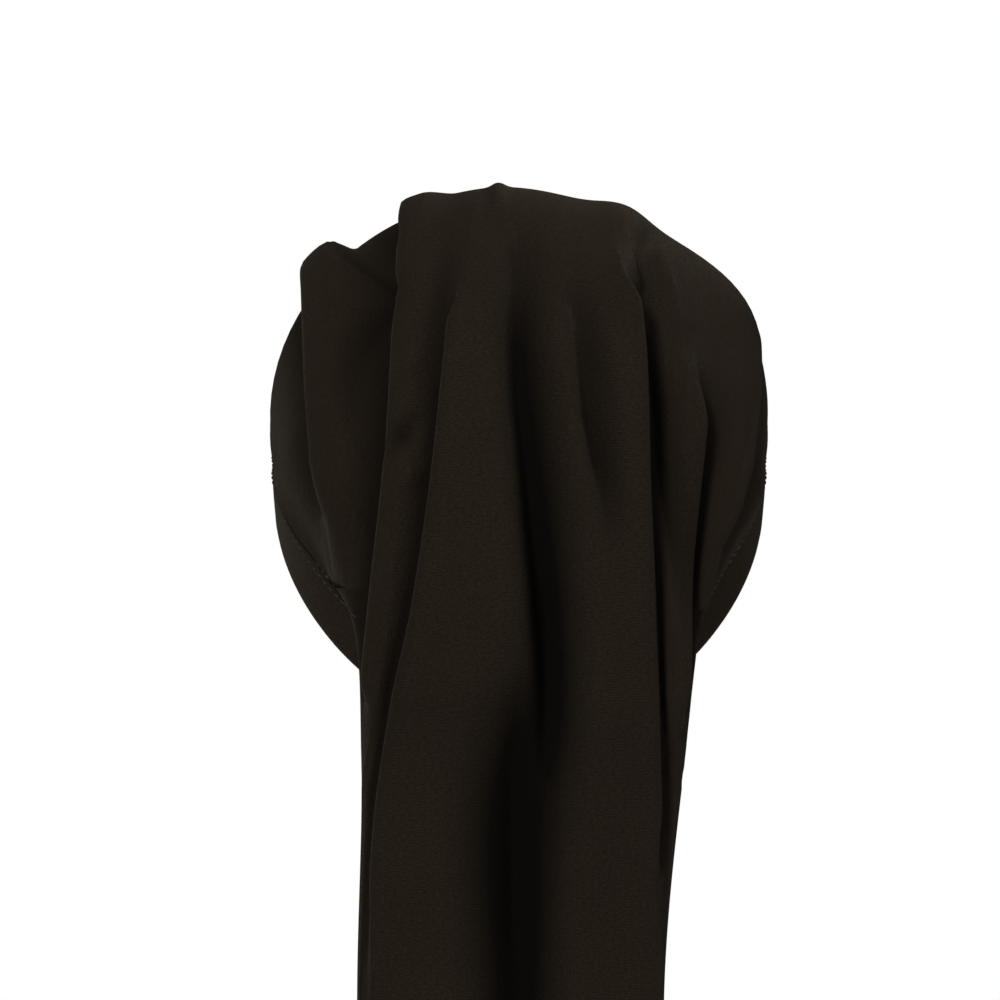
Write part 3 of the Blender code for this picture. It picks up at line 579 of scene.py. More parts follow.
def row_points(s, place):
    """One row of the outer sheet, from its left end to its right end, and its folds' depths for the
    painted shade.
    """
    row = section_values(s, place)
    fade = row["levels"]
    left = half_row(s, row, place, 1, LEFT_PLEATS, PANEL_STEPS[:3])
    right = half_row(s, row, place, -1, RIGHT_PLEATS[::-1], PANEL_STEPS[4:][::-1])
    line = np.concatenate([left[0][::-1], right[0][1:]])[::-1]
    run = np.concatenate([left[1][::-1], -right[1][1:]])[::-1]
    start, level_left, _ = left[2][-1]
    stop, level_right, _ = right[2][-1]
    steps = PANEL_STEPS[3]
    columns = list(left[2])
    for i in range(1, steps):
        t = i / steps
        level = level_left + (level_right - level_left) * float(smooth(t))
        columns.append((start + (-stop - start) * t, level, 0.0))
    columns += [(-spot, level, under) for spot, level, under in right[2][::-1]]
    at, level, under = np.array(columns, float).T
    base = along_curve(line, run, at)
    softness = FRONT_SOFTNESS if place < TOP_PLACE else 1.0
    sunk = (soft_level(s, base) * softness + crease_level(s, base)) * fade
    ends = np.minimum(run[-1] - at, at - run[0])
    level = (level + sunk) * smooth(ends / s.seam_ease)
    if TOP_PLACE < place < TAIL_STARTS:
        on_back = (smooth((place - TOP_PLACE) / SEAM_FADES)
                   * smooth((TAIL_STARTS - place) / SEAM_FADES))
        level += seam_level(s, ends) * float(on_back)
    # painted shade: how deep each point lies under a lip or in a fold, to darken the knit's colour
    depth = np.clip((under - sunk) / (PAINTED_SHADE_DEEPEST * s.pleat_height), 0, 1)
    return base + ways_out(s, row, line, run, at, base) * level[:, None], depth


def crease_level(s, base):
    """The creases' part of the level, on the back alone."""
    total = np.zeros(len(base))
    spot = base[:, [0, 2]]
    for crease in CREASES:
        x = np.array(crease.x) * s.half_width
        z = np.array([upright(s, share) for share in crease.z])
        line = np.stack([x, z], axis=1)
        nearest = np.full(len(base), 1.0)
        part = np.zeros(len(base))
        for i in range(len(line) - 1):
            way = line[i + 1] - line[i]
            t = np.clip(((spot - line[i]) @ way) / (way @ way), 0, 1)
            off = spot - (line[i] + t[:, None] * way)
            gap = np.linalg.norm(off, axis=1)
            turn = way[0] * off[:, 1] - way[1] * off[:, 0]
            wide = np.where(turn > 0, crease.left, crease.right)
            high = crease.high[i] + (crease.high[i + 1] - crease.high[i]) * t
            here = high * np.exp(-(gap / wide) ** 2)
            part = np.where(gap < nearest, here, part)
            nearest = np.minimum(nearest, gap)
        total += part
    return total * s.pleat_height * smooth(base[:, 1] / BACK_STARTS)


def seam_level(s, ends):
    """The cloth's puff beside the seam and the groove above it, by the distance from its edge."""
    puff = PUFF_HEIGHT * np.exp(-((ends - PUFF_AT) / PUFF_WIDTH) ** 2)
    return puff - GROOVE_DEPTH * np.exp(-((ends - GROOVE_AT) / PUFF_WIDTH) ** 2)


def soft_level(s, base):
    """The soft folds' part of the level."""
    total = np.zeros(len(base))
    for fold in SOFT_FOLDS:
        x = at_height(s, fold.x, base[:, 2]) * s.half_width
        high = at_height(s, fold.high, base[:, 2]) * s.pleat_height
        total += high * np.exp(-((base[:, 0] - x) / (fold.wide * s.half_width)) ** 2)
    return total


def row_places():
    """Places of the rows, closer together over the head than on the tail."""
    head = np.linspace(0.0, TAIL_STARTS, HEAD_ROWS)
    roll = TAIL_STARTS + np.array(ROLL_ROWS)
    join = TAIL_STARTS + np.array(JOIN_ROWS)
    tail = np.linspace(TAIL_STARTS + TAIL_ROWS_FROM, LAST_PLACE, TAIL_ROWS)
    return np.concatenate([head, roll, join, tail])


def hanging_row(s, left, right, place):
    """A row of the layer that hangs behind the nape, between two points of the tail's edges."""
    across = np.linspace(0, 1, HANGING_STEPS + 1)[1:-1]
    angle = TAIL_ANGLE + (2 * math.pi - 2 * TAIL_ANGLE) * across
    beyond = place - TAIL_STARTS
    near = rolled_seam(s, angle, beyond)
    fallen = rolled_seam(s, np.array(TAIL_ANGLE), beyond)[2] - left[2]
    near[:, 2] -= fallen
    flat = left + (right - left) * across[:, None]
    hang = smooth((fallen - HANG_FROM * s.band_width) / (HANG_OVER * s.band_width))
    return near + (flat - near) * hang


def bag_sheet(s):
    """Points, faces, grid and fold depths of the bag, the depths for the painted shade: crown,
    drape and hanging tail.
    """
    places = row_places()
    rows, sunk = (list(parts) for parts in zip(*[row_points(s, place) for place in places]))
    columns = len(rows[0])
    rows[0] = seam_front(s, rows[0])
    points = [p for row in rows for p in row]
    index = np.arange(len(points)).reshape(len(rows), columns)
    faces = []
    for i in range(len(rows) - 1):
        for j in range(columns - 1):
            faces.append((index[i, j], index[i + 1, j], index[i + 1, j + 1], index[i, j + 1]))
    first = int(np.nonzero(np.isclose(places, TAIL_STARTS))[0][0])
    previous = None
    for i in range(first, len(rows)):
        row = hanging_row(s, rows[i][0], rows[i][-1], places[i])
        start = len(points)
        points += list(row)
        ids = [index[i, 0]] + list(range(start, start + len(row))) + [index[i, -1]]
        if previous:
            for j in range(len(ids) - 1):
                faces.append((previous[j], previous[j + 1], ids[j + 1], ids[j]))
        previous = ids
    faces += closed_end(points, list(index[-1]), previous)
    return np.array(points), faces, index, np.concatenate(sunk)


def seam_front(s, row):
    """The first row follows the band's edge across the forehead."""
    angles = np.linspace(EAR_ANGLE, -EAR_ANGLE, SEAM_SAMPLES)
    seam = seam_point(s, angles)[0]
    run = lengths(seam)
    share = lengths(row)
    return along_curve(seam, run, share / share[-1] * run[-1])


def closed_end(points, outer, inner):
    """Faces that close the tail's end between its two layers."""
    faces = []
    run_a = lengths(np.array([points[i] for i in outer]))
    run_b = lengths(np.array([points[i] for i in inner]))
    run_a = run_a / run_a[-1]
    run_b = run_b / run_b[-1]
    i = j = 0
    while i < len(outer) - 1 or j < len(inner) - 1:
        step_outer = j == len(inner) - 1 or (i < len(outer) - 1 and run_a[i + 1] <= run_b[j + 1])
        if step_outer:
            face = (outer[i], inner[j], outer[i + 1])
            i += 1
        else:
            face = (outer[i], inner[j], inner[j + 1])
            j += 1
        if len(set(face)) == 3:
            faces.append(face)
    return faces


def weave_lengths(points, index):
    """Metres across and down the cloth at each point of the outer sheet."""
    grid = points[index]
    across = np.linalg.norm(np.diff(grid, axis=1), axis=2)
    across = np.concatenate([np.zeros((len(grid), 1)), np.cumsum(across, axis=1)], axis=1)
    across -= across[:, -1:] / 2
    down = np.linalg.norm(np.diff(grid, axis=0), axis=2)
    down = np.concatenate([np.zeros((1, grid.shape[1])), np.cumsum(down, axis=0)], axis=0)
    return across, down


def walled(s, name, points, faces, weave, folds):
    """A closed mesh from a sheet, half of its wall on each side, with its weave as a UV map and its
    fold depths for the painted shade as another.
    """
    sheet = bpy.data.meshes.new(name)
    sheet.from_pydata([tuple(p) for p in points], [], faces)
    mesh = bmesh.new()
    mesh.from_mesh(sheet)
    mesh.normal_update()
    normals = np.array([v.normal for v in mesh.verts])
    edges = [(e.verts[0].index, e.verts[1].index, e) for e in mesh.edges if len(e.link_faces) == 1]
    for i in {v for a, b, _ in edges for v in (a, b)}:
        angle = math.atan2(points[i][0] / s.opening_half_width,
                           -points[i][1] / (s.front_reach if points[i][1] < 0 else s.nape_reach))
        normals[i] = opening_frame(s, np.array(angle))[1]
    rims = []
    for a, b, e in edges:
        order = [v.index for v in e.link_faces[0].verts]
        rims.append((b, a) if order[(order.index(a) + 1) % len(order)] == b else (a, b))
    mesh.free()
    bpy.data.meshes.remove(sheet)
    count = len(points)
    both = np.concatenate([points + normals * s.wall / 2, points - normals * s.wall / 2])
    walls = [tuple(int(i) for i in face) for face in faces]
    walls += [tuple(int(i) + count for i in face[::-1]) for face in faces]
    walls += [(int(a), int(b), int(b) + count, int(a) + count) for a, b in rims]
    # the painted shade's fold depths go on the outer wall alone
    return laid_out(name, both, walls, np.concatenate([weave, weave]),
                    np.concatenate([folds, 0 * folds]))


def laid_out(name, points, faces, weave, folds=None):
    """An object with its place in its mesh, and with its cloth's metres and its folds' depths for
    the painted shade as UV maps.
    """
    mesh = bpy.data.meshes.new(name)
    mesh.from_pydata([tuple(p) for p in points], [], faces)
    mesh.update()
    corner = np.zeros(len(mesh.loops), dtype=np.int32)
    mesh.loops.foreach_get("vertex_index", corner)
    folds = np.zeros_like(weave) if folds is None else folds
    for title, values in (("weave", weave), ("folds", folds)):
        layer = mesh.uv_layers.new(name=title)
        layer.data.foreach_set("uv", np.asarray(values, float)[corner].ravel())
    mesh.shade_smooth()
    piece = bpy.data.objects.new(name, mesh)
    bpy.context.scene.collection.objects.link(piece)
    return piece


def knit_bag(s):
    """The fine bag that stands for the plain one."""
    points, faces, index, sunk = bag_sheet(s)
    weave = np.zeros((len(points), 2))
    across, down = weave_lengths(points, index)
    weave[index.ravel()] = np.stack([across.ravel(), down.ravel()], axis=1)
    rest = len(points) - index.size
    hanging = points[index.size:]
    weave[-rest:] = np.stack([hanging[:, 0], -hanging[:, 2]], axis=1)
    # painted shade: the fold depths go into the folds UV map
    folds = np.zeros((len(points), 2))
    folds[:len(sunk), 0] = sunk
    return walled(s, "knit_bag", points, faces, weave, folds)


def band_mesh(s):
    """The doubled band, swept round the opening, with its weave running round it."""
    angles = np.linspace(0, 2 * math.pi, BAND_STEPS + 1)
    point, out, up = opening_frame(s, angles[:-1])
    half = s.band_thickness / 2
    width = s.band_width + SEAM_OVER
    grid = np.stack([point + up * (high * width) + out * (side * half)
                     for high, side in BAND_PROFILE], axis=1)
    around = lengths(opening_edge(s, angles))[:-1]
    size = len(BAND_PROFILE)
    girth = lengths(np.array([(h * s.band_width, d * half) for h, d in BAND_PROFILE]))
    weave = np.stack([np.repeat(around, size), np.tile(girth, BAND_STEPS)], axis=1)
    faces = []
    for i in range(BAND_STEPS):
        for j in range(size):
            a, b = i * size, ((i + 1) % BAND_STEPS) * size
            faces.append((a + j, b + j, b + (j + 1) % size, a + (j + 1) % size))
    return laid_out("soft_headband", grid.reshape(-1, 3), faces, weave)


def stitch(centre, along, out, length):
    """Points and faces of one stitch: a thread that comes up, lies along the cloth and goes in."""
    side = np.cross(along, out)
    points = []
    for reach, rise, girth in STITCH_RINGS:
        for k in range(STITCH_SIDES):
            turn = math.tau * k / STITCH_SIDES
            points.append(centre + along * (reach * length) + out * (rise * THREAD)
                          + (side * math.cos(turn) + out * math.sin(turn)) * (girth * THREAD))
    faces = []
    last = (len(STITCH_RINGS) - 1) * STITCH_SIDES
    for ring in range(0, last, STITCH_SIDES):
        for k in range(STITCH_SIDES):
            after = (k + 1) % STITCH_SIDES
            above = ring + STITCH_SIDES
            faces.append((ring + k, ring + after, above + after, above + k))
    faces += [tuple(range(STITCH_SIDES))[::-1], tuple(range(last, last + STITCH_SIDES))]
    return points, faces


def stitch_row(name, lines):
    """One piece of every stitch along the lines, each a list of places with the way out there."""
    points = []
    faces = []
    for places, outs in lines:
        run = lengths(places)
        count = int(run[-1] / STITCH_PITCH)
        for i in range(count):
            at = (i + 0.5) * run[-1] / count
            span = np.array([at - STITCH_LENGTH / 2, at, at + STITCH_LENGTH / 2])
            back, centre, front = along_curve(places, run, span)
            out = unit(along_curve(outs, run, span[1:2])[0])
            along = unit(front - back)
            made, sides = stitch(centre, along, unit(out - along * (out @ along)), STITCH_LENGTH)
            faces += [tuple(v + len(points) for v in side) for side in sides]
            points += made
    piece = laid_out(name, np.array(points), faces, np.zeros((len(points), 2)))
    bpy.ops.object.select_all(action="DESELECT")
    piece.select_set(True)
    bpy.context.view_layer.objects.active = piece
    bpy.ops.object.mode_set(mode="EDIT")
    bpy.ops.mesh.select_all(action="SELECT")
    bpy.ops.mesh.normals_make_consistent(inside=False)
    bpy.ops.object.mode_set(mode="OBJECT")
    return piece


def on_cloth(tree, starts, ways):
    """Places and ways out where rays meet the cloth."""
    places, outs = [], []
    for start, way in zip(starts, ways):
        hit, normal, _, _ = tree.ray_cast(Vector(start), Vector(way), RAY_REACH)
        if hit is not None:
            places.append(np.array(hit))
            outs.append(np.array(normal if normal.dot(Vector(way)) < 0 else -normal))
    return np.array(places), np.array(outs)


def band_rows(s, bag):
    """The two rows of stitches beside the seam: on the cloth, and on the band."""
    around = np.linspace(-TAIL_ANGLE, TAIL_ANGLE, SEAM_RAYS)
    seam, out, up = seam_point(s, around)
    tree = BVHTree.FromObject(bag, bpy.context.evaluated_depsgraph_get())
    cloth = on_cloth(tree, seam + up * ROW_FROM_SEAM + out * SEAM_RAYS_FROM, -out)
    whole = np.linspace(0, math.tau, BAND_POINTS)
    point, out, up = opening_frame(s, whole)
    band = point + up * (s.band_width - ROW_FROM_SEAM) + out * (s.band_thickness / 2)
    return stitch_row("band_stitches", (cloth, (band, out)))


def end_row(s, bag):
    """The row of stitches that closes the tail's end, on its outer layer."""
    tree = BVHTree.FromObject(bag, bpy.context.evaluated_depsgraph_get())
    low = min(v.co.z for v in bag.data.vertices)
    x = np.linspace(-s.tail_half_width, s.tail_half_width, END_RAYS)
    behind = np.full_like(x, s.back_reach + END_RAYS_FROM)
    starts = np.stack([x, behind, np.full_like(x, low + END_ROW)], axis=1)
    forward = np.tile([0.0, -1.0, 0.0], (END_RAYS, 1))
    return stitch_row("end_stitches", (on_cloth(tree, starts, forward),))


def add_node(tree, kind, place, **settings):
    """A shader node with its settings and input values."""
    node = tree.nodes.new(kind)
    node.location = place
    for key, value in settings.items():
        if key.startswith("in_"):
            node.inputs[int(key[3:])].default_value = value
        else:
            setattr(node, key, value)
    return node


def add_range(tree, place, low, high, to_low=0.0, to_high=1.0):
    """A node that turns one range of values into another."""
    return add_node(tree, "ShaderNodeMapRange", place, in_1=low, in_2=high,
                    in_3=to_low, in_4=to_high)


def join(tree, source, target, out=0, into=0):
    """Links an output of one node to an input of another, by place or by name."""
    tree.links.new(source.outputs[out], target.inputs[into])


def set_inputs(node, values):
    """Sets a node's inputs by their names."""
    for name, value in values.items():
        node.inputs[name].default_value = value


def new_finish(name):
    """A material, its node tree and its shader."""
    material = bpy.data.materials.new(name)
    material.use_nodes = True
    return material, material.node_tree, material.node_tree.nodes["Principled BSDF"]


def thread_finish(name, colour):
    """Sewing thread with a twist along it."""
    material, tree, shader = new_finish(name)
    where = add_node(tree, "ShaderNodeTexCoord", (-900, 0))
    twist = add_node(tree, "ShaderNodeTexNoise", (-700, 0), noise_dimensions="3D")
    shade = add_node(tree, "ShaderNodeMix", (-300, 100), data_type="RGBA")
    set_inputs(twist, {"Scale": TWIST_SCALE})
    dark, light = [(*[c * share for c in colour], 1.0) for share in TWIST_SHADES]
    set_inputs(shade, {"A": dark, "B": light})
    set_inputs(shader, {"Roughness": 0.55, "Specular IOR Level": 0.3})
    join(tree, where, twist, "Object", "Vector")
    join(tree, twist, shade, 0, "Factor")
    join(tree, shade, shader, "Result", "Base Color")
    return material


def knit_finish(name, colour, pale, wale, course, depth, sheen):
    """Fine stretch knit: wales and courses on the weave's own lengths, with a soft fuzz, and
    painted shade that darkens its colour and sheen deep in the folds.
    """
    material, tree, shader = new_finish(name)
    weave = add_node(tree, "ShaderNodeUVMap", (-1400, 0), uv_map="weave")
    parts = add_node(tree, "ShaderNodeSeparateXYZ", (-1200, 0))
    join(tree, weave, parts)
    waves = []
    for axis, period in enumerate((wale, course)):
        turn = add_node(tree, "ShaderNodeMath", (-1000, -200 * axis), operation="MULTIPLY",
                        in_1=2 * math.pi / period)
        wave = add_node(tree, "ShaderNodeMath", (-820, -200 * axis), operation="SINE")
        join(tree, parts, turn, axis)
        join(tree, turn, wave)
        waves.append(wave)
    both = add_node(tree, "ShaderNodeMath", (-620, -60), operation="MULTIPLY_ADD",
                    in_1=COURSE_RELIEF)
    ribs = add_node(tree, "ShaderNodeMath", (-620, -220), operation="MULTIPLY", in_1=WALE_RELIEF)
    join(tree, waves[0], ribs)
    join(tree, waves[1], both)
    join(tree, ribs, both, 0, 2)
    drawn = add_node(tree, "ShaderNodeMapping", (-1200, -300))
    loops = add_node(tree, "ShaderNodeTexNoise", (-1000, -500), noise_dimensions="2D")
    set_inputs(drawn, {"Scale": LOOP_STRETCH})
    set_inputs(loops, {"Scale": LOOP_SCALE, "Detail": LOOP_DETAIL})
    join(tree, weave, drawn, 0, "Vector")
    join(tree, drawn, loops, 0, "Vector")
    where = add_node(tree, "ShaderNodeTexCoord", (-1400, -700))
    drift = add_node(tree, "ShaderNodeTexNoise", (-1000, -760), noise_dimensions="3D")
    set_inputs(drift, {"Scale": DRIFT_SCALE, "Detail": DRIFT_DETAIL})
    join(tree, where, drift, "Object", "Vector")
    grain = add_node(tree, "ShaderNodeMath", (-440, -160), operation="MULTIPLY_ADD",
                     in_1=LOOP_RELIEF)
    join(tree, loops, grain)
    join(tree, both, grain, 0, 2)
    shade = add_range(tree, (-440, 120), *GRAIN_RANGE)
    mix = add_node(tree, "ShaderNodeMix", (-200, 160), data_type="RGBA")
    set_inputs(mix, {"A": (*colour, 1.0), "B": (*pale, 1.0)})
    join(tree, grain, shade)
    join(tree, shade, mix, 0, "Factor")
    worn = add_range(tree, (-440, -420), *DRIFT_RANGE, *DRIFT_SHADES)
    join(tree, drift, worn)
    # painted shade: the deeper the fold, the darker the knit's colour
    folds = add_node(tree, "ShaderNodeUVMap", (-820, -640), uv_map="folds")
    depths = add_node(tree, "ShaderNodeSeparateXYZ", (-620, -640))
    shadow = add_range(tree, (-440, -640), PAINTED_SHADE_FROM, 1.0, 1.0, 1 - FOLD_PAINTED_SHADE)
    join(tree, folds, depths)
    join(tree, depths, shadow)
    # the random drift times the painted shade scales the knit's colour
    drift_and_painted_shade = add_node(tree, "ShaderNodeMath", (-200, -480), operation="MULTIPLY")
    tone = add_node(tree, "ShaderNodeVectorMath", (-20, 160), operation="SCALE")
    join(tree, worn, drift_and_painted_shade)
    join(tree, shadow, drift_and_painted_shade, 0, 1)
    join(tree, mix, tone, "Result")
    join(tree, drift_and_painted_shade, tone, 0, "Scale")
    join(tree, tone, shader, 0, "Base Color")
    bump = add_node(tree, "ShaderNodeBump", (-200, -220))
    set_inputs(bump, {"Strength": BUMP_STRENGTH, "Distance": depth})
    join(tree, grain, bump, 0, "Height")
    join(tree, bump, shader, 0, "Normal")
    # painted shade also weakens the sheen deep in the folds
    fuzz = add_node(tree, "ShaderNodeMath", (-20, -480), operation="MULTIPLY", in_1=sheen)
    join(tree, shadow, fuzz)
    join(tree, fuzz, shader, 0, "Sheen Weight")
    set_inputs(shader, {"Roughness": 0.92, "Metallic": 0.0, "Specular IOR Level": 0.06,
                        "Specular Tint": (1.0, 0.90, 0.80, 1.0), "Sheen Roughness": 0.45,
                        "Sheen Tint": (0.50, 0.43, 0.33, 1.0)})
    return material


def make_floor(stage):
    """The pale floor below the tail."""
    bpy.ops.object.select_all(action="DESELECT")
    bpy.ops.mesh.primitive_circle_add(vertices=FLOOR_CORNERS, radius=FLOOR_RADIUS, fill_type="NGON",
                                      location=(0.0, 0.0, CAD_BOX[0][2] - FLOOR_BELOW))
    floor = bpy.context.object
    floor.name = "floor"
    bpy.ops.object.transform_apply(location=True)
    pale, _, shader = new_finish("floor_paint")
    set_inputs(shader, {"Base Color": (*stage.floor, 1.0), "Roughness": 0.9})
    floor.data.materials.append(pale)


def make_surroundings(scene, stage):
    """Soft light from all round, and the white behind the cap."""
    scene.world = bpy.data.worlds.new("studio")
    scene.world.use_nodes = True
    tree = scene.world.node_tree
    light = tree.nodes["Background"]
    set_inputs(light, {"Color": WORLD_LIGHT, "Strength": stage.surroundings})
    seen = add_node(tree, "ShaderNodeBackground", (0, -200), in_0=(1.0, 1.0, 1.0, 1.0),
                    in_1=stage.backdrop)
    ray = add_node(tree, "ShaderNodeLightPath", (0, 300))
    both = add_node(tree, "ShaderNodeMixShader", (300, 100))
    join(tree, ray, both, "Is Camera Ray")
    join(tree, light, both, 0, 1)
    join(tree, seen, both, 0, 2)
    join(tree, both, tree.nodes["World Output"])
    scene.view_settings.view_transform = "Standard"


def make_lights(scene, stage):
    """The soft lamps."""
    for name, place, aim, width, share in LIGHTS:
        lamp = bpy.data.objects.new(name, bpy.data.lights.new(name, "AREA"))
        lamp.data.shape = "DISK"
        lamp.data.size = width
        lamp.data.energy = share * stage.key
        lamp.location = place
        lamp.rotation_euler = (Vector(aim) - Vector(place)).to_track_quat("-Z", "Y").to_euler()
        scene.collection.objects.link(lamp)


def make_camera(scene):
    """The camera, straight behind the cap and level with it."""
    camera = bpy.data.objects.new("camera", bpy.data.cameras.new("camera"))
    camera.location = CAMERA_PLACE
    camera.rotation_euler = (math.radians(90), 0, math.radians(180))
    camera.data.lens = SENSOR_WIDTH * CAMERA_PLACE[1] / VIEW_WIDTH
    camera.data.sensor_width = SENSOR_WIDTH
    scene.collection.objects.link(camera)
    scene.camera = camera


class CapSizes(bpy.types.PropertyGroup):
    """Sizes of the cap, in metres."""
    half_width: FloatProperty(name="Half width", description="Middle to side, over the ears",
                              default=0.090, unit="LENGTH")
    crown_height: FloatProperty(name="Crown height", description="Origin up to the crown",
                                default=0.117, unit="LENGTH")
    front_reach: FloatProperty(name="Front reach", description="Origin forward to the forehead",
                               default=0.098, unit="LENGTH")
    back_reach: FloatProperty(name="Back reach",
                              description="Origin back to the cloth behind the head",
                              default=0.093, unit="LENGTH")
    drop: FloatProperty(name="Drop", description="Origin down to the closed end of the tail",
                        default=0.362, unit="LENGTH")
    tail_half_width: FloatProperty(name="Tail half width",
                                   description="Middle of the tail to its side",
                                   default=0.053, unit="LENGTH")
    tail_depth: FloatProperty(name="Tail depth", description="Gap between the tail's two layers",
                              default=0.009, unit="LENGTH")
    wall: FloatProperty(name="Wall",
                        description="Thickness of the knit", default=0.0012, unit="LENGTH")
    opening_half_width: FloatProperty(name="Opening half width",
                                      description="Middle to the band at the ear",
                                      default=0.0875, unit="LENGTH")
    nape_reach: FloatProperty(name="Nape reach",
                              description="Origin back to the opening's edge at the nape",
                              default=0.078, unit="LENGTH")
    brow_rise: FloatProperty(name="Brow rise",
                             description="The opening's edge at the forehead, above the ears",
                             default=0.042, unit="LENGTH")
    nape_drop: FloatProperty(name="Nape drop",
                             description="The opening's edge at the nape, below the ears",
                             default=0.075, unit="LENGTH")
    band_width: FloatProperty(name="Band width",
                              description="Width of the band", default=0.019, unit="LENGTH")
    band_thickness: FloatProperty(name="Band thickness",
                                  description="Thickness of the doubled band",
                                  default=0.0024, unit="LENGTH")
    seam_gap: FloatProperty(name="Seam gap",
                            description="Clearance between the band's top edge and the cloth",
                            default=0.0004, unit="LENGTH")
    nape_clearance: FloatProperty(name="Nape clearance",
                                  description="The hanging layer's distance behind the band",
                                  default=0.0045, unit="LENGTH")
    pleat_height: FloatProperty(name="Pleat height",
                                description="One layer of a pleat over the next",
                                default=0.0080, unit="LENGTH")
    pleat_sink: FloatProperty(name="Pleat sink",
                              description="Share of its height that a pleat sinks again",
                              default=0.55, subtype="FACTOR")
    seam_roll: FloatProperty(name="Seam roll",
                             description="How far the cloth stands up from the band",
                             default=0.0030, unit="LENGTH")
    seam_ease: FloatProperty(name="Seam ease",
                             description="Stretch beside the seam in which the pleats flatten",
                             default=0.014, unit="LENGTH")
    lip_reach: FloatProperty(name="Lip reach", description="How far a pleat's edge rolls over",
                             default=0.0064, unit="LENGTH")
    lip_width: FloatProperty(name="Lip width",
                             description="Half the width that a pleat's edge takes up",
                             default=0.0045, unit="LENGTH")
    least_space: FloatProperty(name="Least space",
                               description="Least cloth left between two pleats",
                               default=0.0085, unit="LENGTH")
    flat_space: FloatProperty(name="Flat space",
                              description="The same where the outer pleat has run out",
                              default=0.0025, unit="LENGTH")
    lobe_edge_width: FloatProperty(name="Lobe edge",
                                   description="Over which the left lobe's upper edge rises",
                                   default=0.007, unit="LENGTH")
    normal_step: FloatProperty(name="Normal step",
                               description="Cloth taken to find which way a row faces",
                               default=0.002, unit="LENGTH")


class CapColours(bpy.types.PropertyGroup):
    """Colours of the cap's finishes."""
    knit: FloatVectorProperty(name="Knit", description="The knit's colour in its hollows", size=3,
                              default=(0.0044, 0.0027, 0.0014), subtype="COLOR")
    knit_pale: FloatVectorProperty(name="Knit's ribs",
                                   description="The knit's colour on its ribs", size=3,
                                   default=(0.0106, 0.0076, 0.0050), subtype="COLOR")
    thread: FloatVectorProperty(name="Thread", description="The sewing thread", size=3,
                                default=(0.0065, 0.0055, 0.0045), subtype="COLOR")


class StageLights(bpy.types.PropertyGroup):
    """The studio."""
    backdrop: FloatProperty(name="Backdrop",
                            description="Strength of the white that the camera sees", default=1.0)
    surroundings: FloatProperty(name="Surroundings",
                                description="Strength of the light from all round", default=0.11)
    key: FloatProperty(name="Key light",
                       description="Power of the soft main light", default=37.0, unit="POWER")
    floor: FloatVectorProperty(name="Floor", description="The floor's colour", size=3,
                               default=(0.80, 0.80, 0.79), subtype="COLOR")


class CAP_OT_knit_bag(bpy.types.Operator):
    """Makes the bag: crown, drape and hanging tail."""
    bl_idname = "cap.knit_bag"
    bl_label = "Knit bag"

    def execute(self, context):
        colours = context.scene.cap_colours
        bag = knit_bag(context.scene.cap_sizes)
        bag.data.materials.append(knit_finish(
            "fine_black_knit", colours.knit, colours.knit_pale,
            wale=0.0011, course=0.0009, depth=0.00018, sheen=0.05))
        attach(bag, "root")
        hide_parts("hood_and_tail")
        return {"FINISHED"}


class CAP_OT_headband(bpy.types.Operator):
    """Makes the band round the head opening."""
    bl_idname = "cap.headband"
    bl_label = "Headband"

    def execute(self, context):
        colours = context.scene.cap_colours
        band = band_mesh(context.scene.cap_sizes)
        band.data.materials.append(knit_finish(
            "doubled_black_knit", colours.knit, colours.knit_pale,
            wale=0.0012, course=0.0010, depth=0.00020, sheen=0.05))
        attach(band, "root")
        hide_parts("headband")
        return {"FINISHED"}


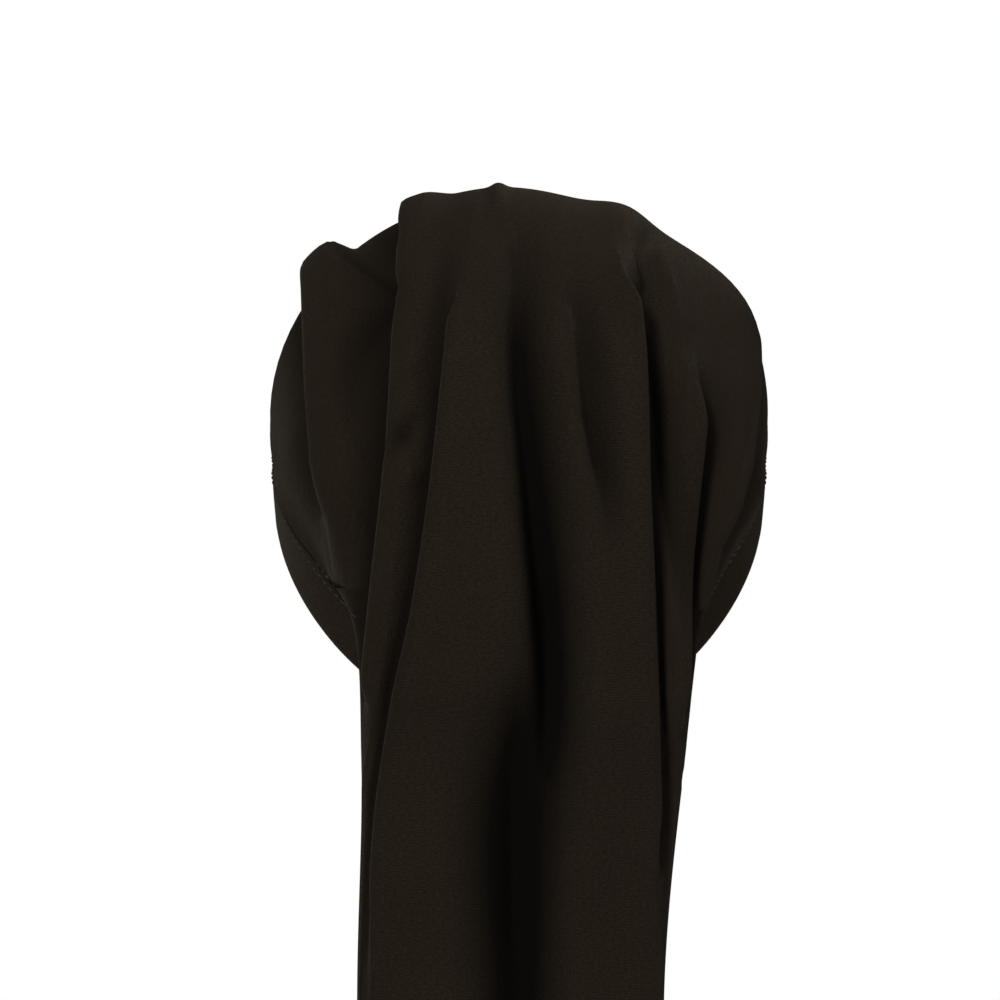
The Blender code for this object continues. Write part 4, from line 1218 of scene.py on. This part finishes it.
class CAP_OT_stitches(bpy.types.Operator):
    """Makes the rows of stitches beside the band's seam and at the tail's closed end."""
    bl_idname = "cap.stitches"
    bl_label = "Stitches"

    def execute(self, context):
        bag = bpy.data.objects.get("knit_bag")
        if bag is None:
            raise RuntimeError("the stitches need the knit bag")
        sizes = context.scene.cap_sizes
        thread = thread_finish("black_thread", context.scene.cap_colours.thread)
        rows = ((band_rows(sizes, bag), "band_knit"), (end_row(sizes, bag), "black_knit"))
        for piece, slot in rows:
            piece.data.materials.append(thread)
            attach(piece, "root")
        return {"FINISHED"}


class CAP_OT_stage(bpy.types.Operator):
    """Makes the floor, the lights, the surroundings and the camera."""
    bl_idname = "cap.stage"
    bl_label = "Stage"

    def execute(self, context):
        scene = context.scene
        make_floor(scene.cap_stage)
        make_surroundings(scene, scene.cap_stage)
        make_lights(scene, scene.cap_stage)
        make_camera(scene)
        return {"FINISHED"}


class CAP_PT_panel(bpy.types.Panel):
    """Lists the cap's pieces, sizes and colours."""
    bl_idname = "CAP_PT_panel"
    bl_label = "Dreadlock cap"
    bl_space_type = "VIEW_3D"
    bl_region_type = "UI"
    bl_category = "Cap"

    def draw(self, context):
        layout = self.layout
        for piece in PIECES:
            layout.operator(piece)
        for group in (context.scene.cap_sizes, context.scene.cap_colours, context.scene.cap_stage):
            box = layout.box()
            for name in group.__annotations__:
                box.prop(group, name)


PIECES = ("cap.knit_bag", "cap.headband", "cap.stitches", "cap.stage")
CLASSES = (CapSizes, CapColours, StageLights, CAP_OT_knit_bag, CAP_OT_headband,
           CAP_OT_stitches, CAP_OT_stage, CAP_PT_panel)


def register():
    """Registers the add-on."""
    for cls in CLASSES:
        bpy.utils.register_class(cls)
    bpy.types.Scene.cap_sizes = PointerProperty(type=CapSizes)
    bpy.types.Scene.cap_colours = PointerProperty(type=CapColours)
    bpy.types.Scene.cap_stage = PointerProperty(type=StageLights)


def unregister():
    """Takes the add-on out again."""
    del bpy.types.Scene.cap_stage
    del bpy.types.Scene.cap_colours
    del bpy.types.Scene.cap_sizes
    for cls in reversed(CLASSES):
        bpy.utils.unregister_class(cls)


def main():
    """Registers the add-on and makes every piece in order."""
    register()
    bpy.ops.cap.knit_bag()
    bpy.ops.cap.headband()
    bpy.ops.cap.stitches()
    bpy.ops.cap.stage()


if __name__ == "__main__":
    main()
